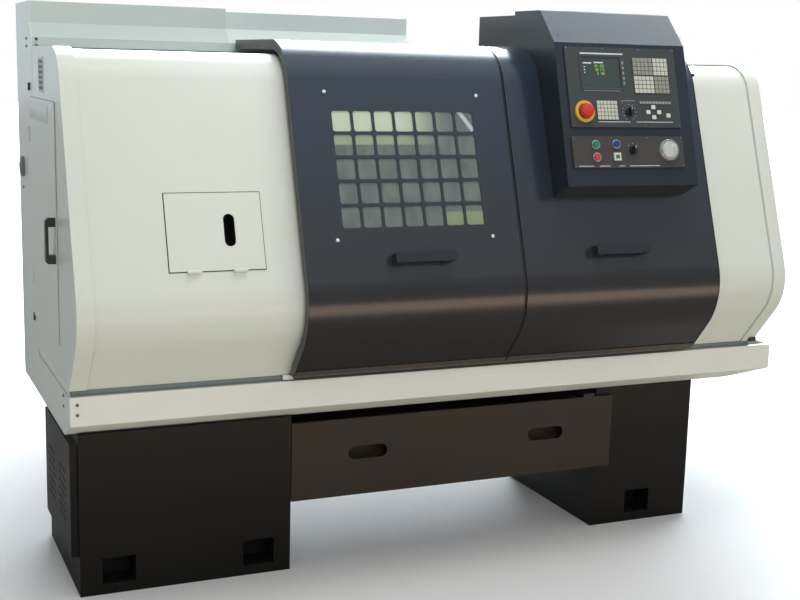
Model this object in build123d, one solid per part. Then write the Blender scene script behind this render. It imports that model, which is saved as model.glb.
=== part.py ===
from build123d import *
import os
from math import atan, cos, sin

# Enclosed turning lathe, modelled in millimetres.
# While modelling, X = 0 is the left end cover, Y = 0 is the front of the left pedestal and Z = 0 is the floor.
# Everything is moved at export so that the origin is under the middle of the overall box.

# Overall
TRAY_LENGTH = 2400.0
TRAY_FRONT = -70.0
COVER_BACK = 831.0
COVER_TOP = 1704.0
END_HANDLE_REACH = 32.0
SHEET = 3.0

# Pedestals
PEDESTAL_HEIGHT = 486.0
LEFT_PEDESTAL = (32.0, 669.0, 0.0, 532.0)
RIGHT_PEDESTAL = (1758.0, 2143.0, 18.0, 589.0)
PEDESTAL_WALL = 14.0
NICHE_WIDTH = 97.0
NICHE_BOTTOM = 30.0
NICHE_TOP = 110.0
NICHE_DEPTH = 90.0
ANCHOR_RADIUS = 11.0
ANCHOR_Y = 45.0
LEFT_NICHES = (145.0, 568.0)
RIGHT_NICHE = 1944.0
SHELF_START = 120.0
SHELF_TOP = 116.0
BELT_SLOT = (130.0, 440.0)
RUNNER_Z = 300.0
VENT_COVER = (12.0, 462.0, 120.0, 455.0)
VENT_COVER_DEPTH = 22.0
VENT_FIELDS = (100.0, 295.0)
VENT_LOWEST = 206.0
VENT_PITCH = 24.0
VENT_COLUMNS = 5
VENT_ROWS = 7
VENT_HOLE_RADIUS = 6.0

# Chip tray
TRAY_BAND_Z = 532.0
TRAY_LIP_Z = 616.0
TRAY_CHAMFER_Y = 23.0
TRAY_END_CHAMFER = 110.0
TRAY_SHEET = 4.0

# Coolant drawer
DRAWER_FRONT = (672.0, 1812.0, 216.0, 462.0)
DRAWER_GRIPS = (923.0, 1558.0)

# Enclosure profile, seen along X: a flat top, a leaning front and an undercut belly
FRONT_SLOPE = 0.347
FRONT_Y = -12.0
FRONT_Z = 1450.0
BELLY_SLOPE = 0.83
BELLY_Y = -74.0
BELLY_Z = 650.0
CASING_TOP = 1563.0
CASING_FOOT = 634.0
TOP_RADIUS = 110.0
BELLY_RADIUS = 160.0
RAIL_Y = 490.0
FRONT_LEAN = atan(FRONT_SLOPE)
BELLY_LEAN = atan(BELLY_SLOPE)

# Covers along X
END_CAP_WIDTH = 48.0
END_CAP_PROUD = 6.0
LEFT_CASING_END = 640.0
RIGHT_CASING_START = 2010.0
RIGHT_CAP_START = 2277.0
RIGHT_COVER_END = 2325.0

# Flap, end door and cabinet
FLAP_WIDTH = 272.0
FLAP_HEIGHT = 219.0
FLAP_X = 392.0
FLAP_Z = 1076.0
FLAP_AXIS = 6.0
END_DOOR = (75.0, 545.0, 735.0, 1416.0)
END_DOOR_HINGES = (857.0, 1302.0)
CABINET = (1890.0, 2395.0, 562.0, COVER_BACK, TRAY_LIP_Z, 1748.0)

# Doors
DOOR_STANDOFF = 43.0
DOOR_GAP = 14.0
DOOR_FOOT = 642.0
LEFT_DOOR = (632.0, 1323.5)
RIGHT_DOOR = (1326.5, 2030.0)
WINDOW_CENTRE_X = 979.5
WINDOW_COLUMNS = 7
WINDOW_ROWS = 5
WINDOW_CELL = (57.0, 61.0)
WINDOW_PITCH = (65.7, 71.0)
WINDOW_CORNER = 8.0
WINDOW_CENTRE_Z = 1246.0
HANDLE_LENGTH = 192.0
HANDLE_Z = 991.0
HANDLE_HEIGHT = 30.0
HANDLE_PROUD = 38.0
LEFT_HANDLE_X = 989.0
RIGHT_HANDLE_X = 1658.0

# Control box
BOX_LEFT = 1451.0
BOX_RIGHT = 1921.0
BOX_TOP_Y = -26.0
BOX_TOP_Z = 1718.0
BOX_FACE_Y = -120.0
BOX_FACE_Z = 1622.0
BOX_LOW_Y = -246.0
BOX_LOW_Z = 1196.0
BOX_UNDER_Y = -160.0
BOX_UNDER_Z = 1154.0
BOX_BACK_Y = 135.0
DUCT_BACK_Y = 390.0
DUCT_TOP_Z = 1706.0
DUCT_WIDTH = 120.0
PANEL_THICK = 6.0
BOX_LEAN = atan((BOX_FACE_Y - BOX_LOW_Y) / (BOX_FACE_Z - BOX_LOW_Z))

# Operator panels, measured from the box face's upper left corner
UPPER_PANEL = (227.0, 139.0, 396.0, 250.0)
LOWER_PANEL = (224.0, 341.0, 400.0, 98.0)
SCREEN = (152.0, 94.0, 136.0, 96.0)
KEY_FIELDS = (
    (331.0, 100.0, 134.0, 118.0), (160.0, 211.0, 76.0, 62.0), (336.0, 186.0, 118.0, 11.0),
    (327.0, 216.0, 56.0, 17.0), (327.0, 216.0, 17.0, 48.0),
)
ESTOP = (78.0, 216.0)
BUTTON_TRAVEL = 3.0
GREEN = (105.0, 318.0)
RED = (105.0, 357.0)
BLUE = (178.0, 317.0)
LAMP = (177.0, 356.0)
MODE_KNOB = (238.0, 336.0)
FEED_KNOB = (239.0, 216.0)
DIAL = (367.0, 336.0)
HAND_SCREWS = (88.0, 355.0)

# Working parts
SPINDLE_Y = 240.0
SPINDLE_Z = 1100.0
SWING_RADIUS = 250.0
BED_TOP = SPINDLE_Z - SWING_RADIUS
BED_FRONT = 60.0
BED_BACK = 420.0
BED_START = 130.0
BED_END = 2150.0
CHUCK_RADIUS = 125.0
CHUCK_FACE = 740.0
BORE_RADIUS = 41.0
SPINDLE_PULLEY_RADIUS = 140.0
MOTOR_PULLEY_RADIUS = 80.0
BELT_X = 78.0
BELT_WIDTH = 50.0
MOTOR_Z = 235.0
MOTOR_RADIUS = 115.0
SCREW_Y = 27.0
SCREW_Z = 725.0
SCREW_RADIUS = 20.0
CARRIAGE_X = 1150.0
TURRET_Y = SPINDLE_Y - 140.0
TAILSTOCK_X = 1900.0
QUILL_RADIUS = 37.5


# Small helpers
def block(x0, x1, y0, y1, z0, z1):
    return Pos((x0 + x1) / 2, (y0 + y1) / 2, (z0 + z1) / 2) * Box(x1 - x0, y1 - y0, z1 - z0)


def rod_x(x0, x1, y, z, radius):
    return Pos((x0 + x1) / 2, y, z) * Rot(0, 90, 0) * Cylinder(radius, x1 - x0)


def rod_y(x, y0, y1, z, radius):
    return Pos(x, (y0 + y1) / 2, z) * Rot(90, 0, 0) * Cylinder(radius, y1 - y0)


def rod_z(x, y, z0, z1, radius):
    return Pos(x, y, (z0 + z1) / 2) * Cylinder(radius, z1 - z0)


def prism_x(points, x0, x1):
    face = make_face(Plane.YZ * Polyline(*points, close=True))
    return Pos(x0, 0, 0) * extrude(face, x1 - x0, dir=(1, 0, 0))


def prism_y(points, y0, y1):
    face = make_face(Plane.XZ * Polyline(*points, close=True))
    return Pos(0, y0, 0) * extrude(face, y1 - y0, dir=(0, 1, 0))


def front_y(z, offset=0.0):
    return FRONT_Y - FRONT_SLOPE * (FRONT_Z - z) - offset / cos(FRONT_LEAN)


def belly_y(z, offset=0.0):
    return BELLY_Y - BELLY_SLOPE * (z - BELLY_Z) - offset / cos(BELLY_LEAN)


def profile(offset, back=RAIL_Y, foot=CASING_FOOT):
    # Solid section of the enclosure, grown outward by offset
    top = CASING_TOP + offset
    belly_z = (front_y(0, offset) - belly_y(0, offset)) / (-BELLY_SLOPE - FRONT_SLOPE)
    crown = (front_y(top, offset), top)
    belly = (front_y(belly_z, offset), belly_z)
    toe = (belly_y(foot, offset), foot)
    front = FilletPolyline((back, top), crown, belly, toe, radius=[TOP_RADIUS + offset, BELLY_RADIUS + offset])
    close = Polyline(toe, (back, foot), (back, top))
    return make_face([Plane.YZ * front, Plane.YZ * close])


def profile_solid(offset, x0, x1, back=RAIL_Y, foot=CASING_FOOT):
    return Pos(x0, 0, 0) * extrude(profile(offset, back, foot), x1 - x0, dir=(1, 0, 0))


def profile_skin(offset, x0, x1, back=RAIL_Y, foot=CASING_FOOT, thick=SHEET):
    inner = profile_solid(offset - thick, x0 - 1, x1 + 1, back + 50, foot - 50)
    return profile_solid(offset, x0, x1, back, foot) - inner


def face_plane(x, z, offset=0.0):
    # Local plane on the leaning front: X to the right, Y up the slope, Z outward
    return Plane(
        origin=(x, front_y(z, offset), z),
        x_dir=(1, 0, 0),
        z_dir=(0, -cos(FRONT_LEAN), sin(FRONT_LEAN)),
    )


def box_plane(x, down, offset=0.0):
    # Local plane on the control box's face, measured from its upper left corner
    outward = (0, -cos(BOX_LEAN), sin(BOX_LEAN))
    y = BOX_FACE_Y - down * sin(BOX_LEAN) + offset * outward[1]
    z = BOX_FACE_Z - down * cos(BOX_LEAN) + offset * outward[2]
    return Plane(origin=(BOX_LEFT + x, y, z), x_dir=(1, 0, 0), z_dir=outward)


def plate_on(plane, width, height, thick, corner=0.0):
    outline = RectangleRounded(width, height, corner) if corner else Rectangle(width, height)
    return extrude(plane * outline, thick)


def disc_on(plane, radius, thick):
    return extrude(plane * Circle(radius), thick)


def about_spindle(shape, degrees):
    centre = Pos(0, SPINDLE_Y, SPINDLE_Z)
    return centre * Rot(degrees, 0, 0) * centre.inverse() * shape


def group(solids):
    # Separate pieces that share one node
    total = solids[0]
    for solid in solids[1:]:
        total = total + solid
    return total


# Pedestals
def pedestal(x0, x1, y0, y1, niches):
    wall = PEDESTAL_WALL
    body = block(x0, x1, y0, y1, 0, PEDESTAL_HEIGHT)
    body -= block(x0 + wall, x1 - wall, y0 + wall, y1 - wall, -1, PEDESTAL_HEIGHT - wall)
    for x in niches:
        for front, sign in ((y0, 1), (y1, -1)):
            depth = NICHE_DEPTH + wall
            near, far = sorted((front, front + sign * depth))
            half = NICHE_WIDTH / 2 + wall
            body += block(x - half, x + half, near, far, 0, NICHE_TOP + wall)
            inner_near, inner_far = sorted((front - sign, front + sign * NICHE_DEPTH))
            body -= block(x - half + wall, x + half - wall, inner_near, inner_far, NICHE_BOTTOM, NICHE_TOP)
            body -= rod_z(x, front + sign * ANCHOR_Y, -1, NICHE_BOTTOM + 1, ANCHOR_RADIUS)
    return body


def drawer_rail(x0, x1):
    # Angle rail welded to a pedestal's inner side, under the drawer's runner
    web = x0 if x0 == LEFT_PEDESTAL[1] else x1 - 6
    top = RUNNER_Z - 0.5
    return block(x0, x1, 40, 500, top - 9.5, top) + block(web, web + 6, 40, 500, top - 39.5, top)


def left_pedestal():
    x0, x1, y0, y1 = LEFT_PEDESTAL
    body = pedestal(x0, x1, y0, y1, LEFT_NICHES)
    # Shelf for the main motor, slot for the belt and the opening behind the vent cover
    shelf_end = y1 - NICHE_DEPTH - PEDESTAL_WALL + 2
    body += block(x0 + 100, x1 - 60, SHELF_START, shelf_end, SHELF_TOP - 16, SHELF_TOP)
    for leg in (x0 + 100, x1 - 80):
        body += block(leg, leg + 20, SHELF_START, shelf_end, 0, SHELF_TOP)
    body -= block(BELT_X - 40, BELT_X + 40, *BELT_SLOT, PEDESTAL_HEIGHT - 30, PEDESTAL_HEIGHT + 1)
    body -= block(x0 - 1, x0 + PEDESTAL_WALL + 1, 110, 440, 120, 440)
    return body + drawer_rail(x1, x1 + 30)


def right_pedestal():
    x0, x1, y0, y1 = RIGHT_PEDESTAL
    return pedestal(x0, x1, y0, y1, (RIGHT_NICHE,)) + drawer_rail(x0 - 27, x0)


def vent_cover():
    # Pressed box over the motor bay with two fields of round vent holes
    y0, y1, z0, z1 = VENT_COVER
    x1 = LEFT_PEDESTAL[0]
    x0 = x1 - VENT_COVER_DEPTH
    t = SHEET
    cover = block(x0, x1, y0, y1, z0, z1) - block(x0 + t, x1 + 1, y0 + t, y1 - t, z0 + t, z1 - t)
    for start in VENT_FIELDS:
        for column in range(VENT_COLUMNS):
            for row in range(VENT_ROWS):
                y, z = start + column * VENT_PITCH, VENT_LOWEST + row * VENT_PITCH
                cover -= rod_x(x0 - 1, x0 + t + 1, y, z, VENT_HOLE_RADIUS)
    return cover


# Chip tray
def chip_tray():
    t = TRAY_SHEET
    section = [
        (COVER_BACK, PEDESTAL_HEIGHT), (TRAY_CHAMFER_Y, PEDESTAL_HEIGHT), (TRAY_FRONT, TRAY_BAND_Z),
        (TRAY_FRONT, TRAY_LIP_Z), (COVER_BACK, TRAY_LIP_Z),
    ]
    inner = [
        (COVER_BACK - t, PEDESTAL_HEIGHT + t), (TRAY_CHAMFER_Y + 1, PEDESTAL_HEIGHT + t),
        (TRAY_FRONT + t, TRAY_BAND_Z + t), (TRAY_FRONT + t, TRAY_LIP_Z + 1), (COVER_BACK - t, TRAY_LIP_Z + 1),
    ]
    x0 = SHEET
    tray = prism_x(section, x0, TRAY_LENGTH) - prism_x(inner, x0 + t, TRAY_LENGTH - t)
    # The right end slopes up from the floor to the band
    reach = TRAY_LENGTH - TRAY_END_CHAMFER
    end = TRAY_LENGTH + 1
    wedge = prism_y([(reach, PEDESTAL_HEIGHT), (end, PEDESTAL_HEIGHT - 1), (end, TRAY_BAND_Z),
                     (TRAY_LENGTH, TRAY_BAND_Z)], TRAY_FRONT - 10, COVER_BACK + 10)
    ramp = prism_y([(reach, PEDESTAL_HEIGHT), (TRAY_LENGTH, TRAY_BAND_Z), (TRAY_LENGTH, TRAY_BAND_Z + t + 2),
                    (reach, PEDESTAL_HEIGHT + t + 2)], TRAY_CHAMFER_Y - 60, COVER_BACK)
    tray = tray - wedge + (ramp & prism_x(section, x0, TRAY_LENGTH))
    # Slot for the belt, and a rolled lip along the front
    tray -= block(BELT_X - 40, BELT_X + 40, *BELT_SLOT, PEDESTAL_HEIGHT - 1, PEDESTAL_HEIGHT + t + 1)
    tray += block(x0, TRAY_LENGTH, TRAY_FRONT, TRAY_FRONT + 14, TRAY_LIP_Z - t, TRAY_LIP_Z)
    return tray


def coolant_drawer():
    # Pull-out coolant and chip drawer between the pedestals
    t = SHEET
    x0, x1, z0, z1 = DRAWER_FRONT
    front = block(x0, x1, 2, 14, z0, z1) - block(x0 + t, x1 - t, 2 + t, 15, z0 + t, z1 - t)
    for x in DRAWER_GRIPS:
        slot = SlotOverall(131, 42)
        front -= Pos(x, 20, 352) * Rot(90, 0, 0) * extrude(slot, 30)
    tub = block(700, 1730, 60, 510, 224, 440) - block(703, 1727, 63, 507, 227, 441)
    tub += block(700, 703, 4, 61, 224, 440) + block(1727, 1730, 4, 61, 224, 440)
    runners = block(690, 700, 20, 505, RUNNER_Z, 330) + block(1730, 1740, 20, 505, RUNNER_Z, 330)
    tab = block(1700, 1740, 2, 5, 460, 474)
    return front + tub + runners + tab


# Bed and ways
def bed():
    wall = 26.0
    z0 = PEDESTAL_HEIGHT + TRAY_SHEET
    front = block(BED_START, BED_END, BED_FRONT, BED_FRONT + wall, z0, BED_TOP - 40)
    back = block(BED_START, BED_END, BED_BACK - wall, BED_BACK, z0, BED_TOP - 40)
    casting = front + back
    for x in range(0, 8):
        at = BED_START + x * (BED_END - BED_START - 30) / 7
        casting += block(at, at + 30, BED_FRONT, BED_BACK, z0, BED_TOP - 60)
    for x0, x1 in ((BED_START, LEFT_PEDESTAL[1] - 30), (RIGHT_PEDESTAL[0] + 30, 2120)):
        casting += block(x0, x1, BED_FRONT - 15, BED_BACK + 15, z0, z0 + 40)
    # Front vee way and rear flat way for the carriage, inner ways for the tailstock
    casting += block(BED_START, BED_END, BED_FRONT - 10, BED_FRONT + 110, BED_TOP - 50, BED_TOP - 14)
    casting += block(BED_START, BED_END, BED_BACK - 110, BED_BACK + 10, BED_TOP - 50, BED_TOP)
    vee = [
        (BED_FRONT + 5, BED_TOP - 15), (BED_FRONT + 45, BED_TOP - 15), (BED_FRONT + 30, BED_TOP),
        (BED_FRONT + 20, BED_TOP),
    ]
    casting += prism_x(vee, BED_START, BED_END)
    casting += block(BED_START, BED_END, BED_FRONT + 70, BED_FRONT + 105, BED_TOP - 15, BED_TOP)
    # Pockets that let chips fall through the walls
    for k in range(5):
        x = 760 + k * 210
        casting -= block(x, x + 120, BED_FRONT - 1, BED_FRONT + wall + 1, z0 + 110, BED_TOP - 160)
    # Bearing brackets of the lead screw
    for x0, x1 in ((640.0, 690.0), (1930.0, 1975.0)):
        bracket = block(x0, x1, SCREW_Y - 38, BED_FRONT + 1, SCREW_Z - 45, SCREW_Z + 45)
        casting += bracket - rod_x(x0 - 1, x1 + 1, SCREW_Y, SCREW_Z, SCREW_RADIUS + 0.05)
    return casting


def headstock():
    x0, x1 = BED_START + 30, 600.0
    body = block(x0, x1, BED_FRONT + 2, BED_BACK - 2, BED_TOP, SPINDLE_Z + 165)
    body = fillet(body.edges().filter_by(Axis.X).group_by(Axis.Z)[-1], 45)
    body += rod_x(x1 - 1, x1 + 18, SPINDLE_Y, SPINDLE_Z, 118)
    body += rod_x(x0 - 16, x0 + 1, SPINDLE_Y, SPINDLE_Z, 100)
    body -= block(x0 + 25, x1 - 25, BED_FRONT + 27, BED_BACK - 27, BED_TOP + 25, SPINDLE_Z + 140)
    body -= rod_x(x0 - 30, x1 + 30, SPINDLE_Y, SPINDLE_Z, 66.3)
    return body


def spindle():
    shaft = rod_x(40, 620, SPINDLE_Y, SPINDLE_Z, 62) + rod_x(132, 621, SPINDLE_Y, SPINDLE_Z, 66)
    nose = rod_x(621, 655, SPINDLE_Y, SPINDLE_Z, 100)
    return shaft + nose - rod_x(30, 700, SPINDLE_Y, SPINDLE_Z, BORE_RADIUS)


def chuck():
    body = rod_x(655, CHUCK_FACE, SPINDLE_Y, SPINDLE_Z, CHUCK_RADIUS)
    body = chamfer(body.edges().filter_by(GeomType.CIRCLE), 4)
    body -= rod_x(650, CHUCK_FACE + 5, SPINDLE_Y, SPINDLE_Z, BORE_RADIUS)
    for k in range(3):
        slot = block(CHUCK_FACE - 22, CHUCK_FACE + 5, SPINDLE_Y - 15, SPINDLE_Y + 15, SPINDLE_Z + 30, SPINDLE_Z + 140)
        body -= about_spindle(slot, k * 120)
        key = rod_y(CHUCK_FACE - 45, SPINDLE_Y - 130, SPINDLE_Y - 105, SPINDLE_Z, 9)
        body -= about_spindle(key, k * 120 + 30)
    return body


def chuck_jaw(index):
    # Stepped hardened jaw that slides in a radial slot
    y0, y1 = SPINDLE_Y - 14.5, SPINDLE_Y + 14.5
    jaw = block(CHUCK_FACE - 21.5, CHUCK_FACE + 12, y0, y1, SPINDLE_Z + 45, SPINDLE_Z + 118)
    jaw += block(CHUCK_FACE + 12, CHUCK_FACE + 30, y0, y1, SPINDLE_Z + 45, SPINDLE_Z + 92)
    jaw += block(CHUCK_FACE + 30, CHUCK_FACE + 48, y0, y1, SPINDLE_Z + 45, SPINDLE_Z + 66)
    return about_spindle(jaw, index * 120)


def belt_pulley(x, y, z, radius, width, bore):
    wheel = rod_x(x - width / 2, x + width / 2, y, z, radius)
    wheel -= rod_x(x - width / 2 - 1, x + width / 2 + 1, y, z, bore)
    web = rod_x(x + 12, x + width / 2 + 1, y, z, radius - 18) - rod_x(x + 11, x + width / 2 + 2, y, z, bore + 16)
    return wheel - web


def spindle_pulley():
    return belt_pulley(BELT_X, SPINDLE_Y, SPINDLE_Z, SPINDLE_PULLEY_RADIUS, BELT_WIDTH + 8, 62)


def motor_pulley():
    # Belt pulley keyed to the motor's shaft
    wheel = belt_pulley(BELT_X, SPINDLE_Y, MOTOR_Z, MOTOR_PULLEY_RADIUS, BELT_WIDTH + 8, 18.9)
    return wheel + rod_x(BELT_X - 29, 215, SPINDLE_Y, MOTOR_Z, 19)


def drive_belt():
    gap = 0.4
    thick = 9.0

    def loop(extra):
        upper = Pos(0, SPINDLE_Z) * Circle(SPINDLE_PULLEY_RADIUS + extra)
        lower = Pos(0, MOTOR_Z) * Circle(MOTOR_PULLEY_RADIUS + extra)
        return make_hull((upper + lower).edges())

    ring = loop(gap + thick) - loop(gap)
    return Pos(BELT_X - BELT_WIDTH / 2, SPINDLE_Y, 0) * extrude(Plane.YZ * ring, BELT_WIDTH)


def main_motor():
    x0, x1 = 160.0, 560.0
    body = rod_x(x0 + 14, x1, SPINDLE_Y, MOTOR_Z, MOTOR_RADIUS - 8)
    for k in range(14):
        body += rod_x(x0 + 40 + k * 24, x0 + 46 + k * 24, SPINDLE_Y, MOTOR_Z, MOTOR_RADIUS)
    body += rod_x(x0, x0 + 14, SPINDLE_Y, MOTOR_Z, MOTOR_RADIUS)
    body += block(x0 + 60, x1 - 60, SPINDLE_Y - 85, SPINDLE_Y + 85, SHELF_TOP, SHELF_TOP + 34)
    body += block(x0 + 120, x0 + 240, SPINDLE_Y - 50, SPINDLE_Y + 50, MOTOR_Z + 80, MOTOR_Z + 150)
    return body - rod_x(x0 - 1, x0 + 60, SPINDLE_Y, MOTOR_Z, 19.5)


# Lead screw drive of the carriage
def lead_screw():
    return rod_x(660, 1980, SCREW_Y, SCREW_Z, SCREW_RADIUS)


def feed_motor():
    body = block(1981, 2130, SCREW_Y - 65, SCREW_Y + 32.5, SCREW_Z - 65, SCREW_Z + 65)
    body = chamfer(body.edges().filter_by(Axis.X), 14)
    return body + block(1975, 1981, SCREW_Y - 70, SCREW_Y + 32.5, SCREW_Z - 70, SCREW_Z + 70) - rod_x(
        1970, 2000, SCREW_Y, SCREW_Z, SCREW_RADIUS + 0.5)


# Carriage and tool post
def carriage():
    x0, x1 = CARRIAGE_X - 190, CARRIAGE_X + 190
    gap = 0.3
    saddle = block(x0, x1, BED_FRONT - 12, BED_BACK + 12, BED_TOP + gap, BED_TOP + 45)
    saddle -= block(x0 - 1, x0 + 90, BED_FRONT + 75, BED_BACK - 75, BED_TOP - 5, BED_TOP + 50)
    saddle -= block(x1 - 90, x1 + 1, BED_FRONT + 75, BED_BACK - 75, BED_TOP - 5, BED_TOP + 50)
    apron = block(x0 + 40, x1 - 40, SCREW_Y - 47, BED_FRONT - 10.5, SCREW_Z - 60, BED_TOP + 45)
    saddle += apron
    saddle += block(x0 + 40, x1 - 40, BED_FRONT - 12, BED_FRONT + 1, BED_TOP + gap, BED_TOP + 45)
    saddle -= rod_x(x0, x1, SCREW_Y, SCREW_Z, SCREW_RADIUS + 0.3)
    # Dovetail slide across the saddle
    dovetail = [(-70, 0), (70, 0), (82, 25), (-82, 25)]
    rail = Pos(CARRIAGE_X, 0, BED_TOP + 45) * prism_y(dovetail, SCREW_Y - 47, BED_BACK + 12)
    return saddle + rail


def cross_slide():
    z0 = BED_TOP + 45 + 0.3
    y0, y1 = TURRET_Y - 115, TURRET_Y + 195
    body = block(CARRIAGE_X - 115, CARRIAGE_X + 115, y0, y1, z0, z0 + 60)
    groove = [(-70.4, -1), (70.4, -1), (82.6, 25.4), (-82.6, 25.4)]
    return body - Pos(CARRIAGE_X, 0, z0) * prism_y(groove, y0 - 1, y1 + 1)


def cross_motor():
    body = block(CARRIAGE_X - 45, CARRIAGE_X + 45, BED_BACK + 12, BED_BACK + 108, BED_TOP + 46, BED_TOP + 136)
    return chamfer(body.edges().filter_by(Axis.Y), 10) + block(
        CARRIAGE_X - 50, CARRIAGE_X + 50, BED_BACK + 12, BED_BACK + 20, BED_TOP + 20, BED_TOP + 141)


def turret_base():
    z0 = BED_TOP + 105.3
    base = block(CARRIAGE_X - 95, CARRIAGE_X + 95, TURRET_Y - 95, TURRET_Y + 95, z0, z0 + 58)
    base = chamfer(base.edges().filter_by(Axis.Z), 12)
    return base + rod_z(CARRIAGE_X, TURRET_Y, z0 + 58, z0 + 70, 60)


def turret_head():
    z0 = BED_TOP + 105.3 + 70.3
    half = 95
    low, high = TURRET_Y - half, TURRET_Y + half
    head = block(CARRIAGE_X - half, CARRIAGE_X + half, low, high, z0, z0 + 110)
    for x0, x1, y0, y1 in (
        (-half - 1, -60, low - 1, high + 1), (60, half + 1, low - 1, high + 1),
        (-half - 1, half + 1, low - 1, low + 35), (-half - 1, half + 1, high - 35, high + 1),
    ):
        head -= block(CARRIAGE_X + x0, CARRIAGE_X + x1, y0, y1, z0 + 35, z0 + 67)
    return head + rod_z(CARRIAGE_X, TURRET_Y, z0 + 110, z0 + 135, 32)


def cutting_tools():
    z0 = BED_TOP + 105.3 + 70.3 + 35
    tools = []
    for k in range(4):
        bar = block(CARRIAGE_X - 86, CARRIAGE_X - 61, TURRET_Y - 58, TURRET_Y + 105, z0, z0 + 25)
        edge = TURRET_Y + 105
        tip = prism_x([(edge, z0 + 12), (edge, z0 + 25), (edge + 18, z0 + 25), (edge + 14, z0 + 12)],
                      CARRIAGE_X - 86, CARRIAGE_X - 66)
        centre = Pos(CARRIAGE_X, TURRET_Y, 0)
        tools.append(centre * Rot(0, 0, k * 90) * centre.inverse() * (bar + tip))
    return group(tools)


# Tailstock
def tailstock():
    x0, x1 = TAILSTOCK_X - 110, TAILSTOCK_X + 160
    base = block(x0, x1, BED_FRONT + 55, BED_BACK - 20, BED_TOP + 0.3, BED_TOP + 60)
    neck = [
        (SPINDLE_Y - 90, BED_TOP + 60), (SPINDLE_Y + 90, BED_TOP + 60), (SPINDLE_Y + 66, SPINDLE_Z),
        (SPINDLE_Y - 66, SPINDLE_Z),
    ]
    body = base + prism_x(neck, x0 + 20, x1 - 30) + rod_x(x0, x1, SPINDLE_Y, SPINDLE_Z, 68)
    body -= rod_x(x0 - 1, x1 - 20, SPINDLE_Y, SPINDLE_Z, QUILL_RADIUS + 0.05)
    body -= rod_x(x1 - 21, x1 + 1, SPINDLE_Y, SPINDLE_Z, 12.3)
    return body - rod_z(TAILSTOCK_X - 60, SPINDLE_Y - 45, SPINDLE_Z + 20, SPINDLE_Z + 90, 9.3)


def tailstock_quill():
    x0, x1 = TAILSTOCK_X - 150, TAILSTOCK_X + 90
    quill = rod_x(x0, x1, SPINDLE_Y, SPINDLE_Z, QUILL_RADIUS)
    quill -= rod_x(x0 - 1, x0 + 90, SPINDLE_Y, SPINDLE_Z, 16.3)
    return quill - rod_x(x0 + 100, x1 + 1, SPINDLE_Y, SPINDLE_Z, 12.5)


def live_centre():
    x0 = TAILSTOCK_X - 150
    cone = Pos(x0 - 30 - 22, SPINDLE_Y, SPINDLE_Z) * Rot(0, -90, 0) * Cone(26, 1.5, 44)
    return rod_x(x0 - 30, x0 - 0.5, SPINDLE_Y, SPINDLE_Z, 30) + rod_x(
        x0 - 1, x0 + 85, SPINDLE_Y, SPINDLE_Z, 16) + cone


def tailstock_handwheel():
    x = TAILSTOCK_X + 205
    ring = rod_x(x - 10, x + 10, SPINDLE_Y, SPINDLE_Z, 102) - rod_x(x - 11, x + 11, SPINDLE_Y, SPINDLE_Z, 82)
    ring = fillet(ring.edges().filter_by(GeomType.CIRCLE), 8)
    wheel = rod_x(x - 42, x + 18, SPINDLE_Y, SPINDLE_Z, 24)
    for k in range(3):
        wheel += about_spindle(rod_z(x, SPINDLE_Y, SPINDLE_Z + 15, SPINDLE_Z + 90, 8), k * 120)
    wheel += rod_x(x, x + 85, SPINDLE_Y, SPINDLE_Z + 92, 7)
    return wheel + ring + rod_x(TAILSTOCK_X - 40, x, SPINDLE_Y, SPINDLE_Z, 12)


def clamp_lever():
    x, y = TAILSTOCK_X - 60, SPINDLE_Y - 45
    lever = rod_z(x, y, SPINDLE_Z + 25, SPINDLE_Z + 100, 9) + rod_z(x, y, SPINDLE_Z + 90, SPINDLE_Z + 112, 17)
    arm = Pos(x, y, SPINDLE_Z + 101) * Rot(62, 0, 0) * Pos(0, 0, 45) * Cylinder(6, 90)
    knob = Pos(x, y, SPINDLE_Z + 101) * Rot(62, 0, 0) * Pos(0, 0, 98) * Sphere(13)
    return lever + arm + knob


# Fixed covers
def left_casing():
    skin = profile_skin(0, END_CAP_WIDTH, LEFT_CASING_END)
    opening = extrude(face_plane(FLAP_X, FLAP_Z, 5) * Rectangle(FLAP_WIDTH - 24, FLAP_HEIGHT - 24), -20)
    lip = profile_skin(0, LEFT_CASING_END - SHEET, LEFT_CASING_END, thick=30)
    return skin + lip - opening


def access_flap():
    # Inspection flap that hangs on two bottom hinges, with an oblong finger slot
    plane = face_plane(FLAP_X, FLAP_Z, 0.3)
    flap = plate_on(plane, FLAP_WIDTH, FLAP_HEIGHT, 3)
    slot = extrude(plane * Pos(41, 3) * Rot(0, 0, 90) * SlotOverall(92, 32), 4)
    flap -= slot
    for x in (-68, 62):
        knuckle = plane * Pos(x, -FLAP_HEIGHT / 2 - 2, FLAP_AXIS) * Rot(0, 90, 0) * Cylinder(FLAP_AXIS - 0.3, 40)
        flap += knuckle
    return flap


def left_end_cover():
    # One formed cover: the flat end sheet, the proud front strip and the tall back of the machine's end
    cap = profile_solid(END_CAP_PROUD, 0, END_CAP_WIDTH, RAIL_Y - 4)
    cap -= profile_solid(END_CAP_PROUD - SHEET, SHEET, END_CAP_WIDTH + 1, RAIL_Y + 50, TRAY_LIP_Z - 50)
    end = [
        (TRAY_CHAMFER_Y, PEDESTAL_HEIGHT), (COVER_BACK, PEDESTAL_HEIGHT), (COVER_BACK, COVER_TOP),
        (535, COVER_TOP), (535, 1640), (RAIL_Y, 1596), (RAIL_Y - 5, TRAY_LIP_Z), (TRAY_FRONT, TRAY_LIP_Z),
        (TRAY_FRONT, TRAY_BAND_Z),
    ]
    sheet = prism_x(end, 0, SHEET)
    cover = cap + sheet
    y0, y1, z0, z1 = END_DOOR
    return cover - block(-1, SHEET + 1, y0 + 14, y1 - 14, z0 + 14, z1 - 14)


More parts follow.
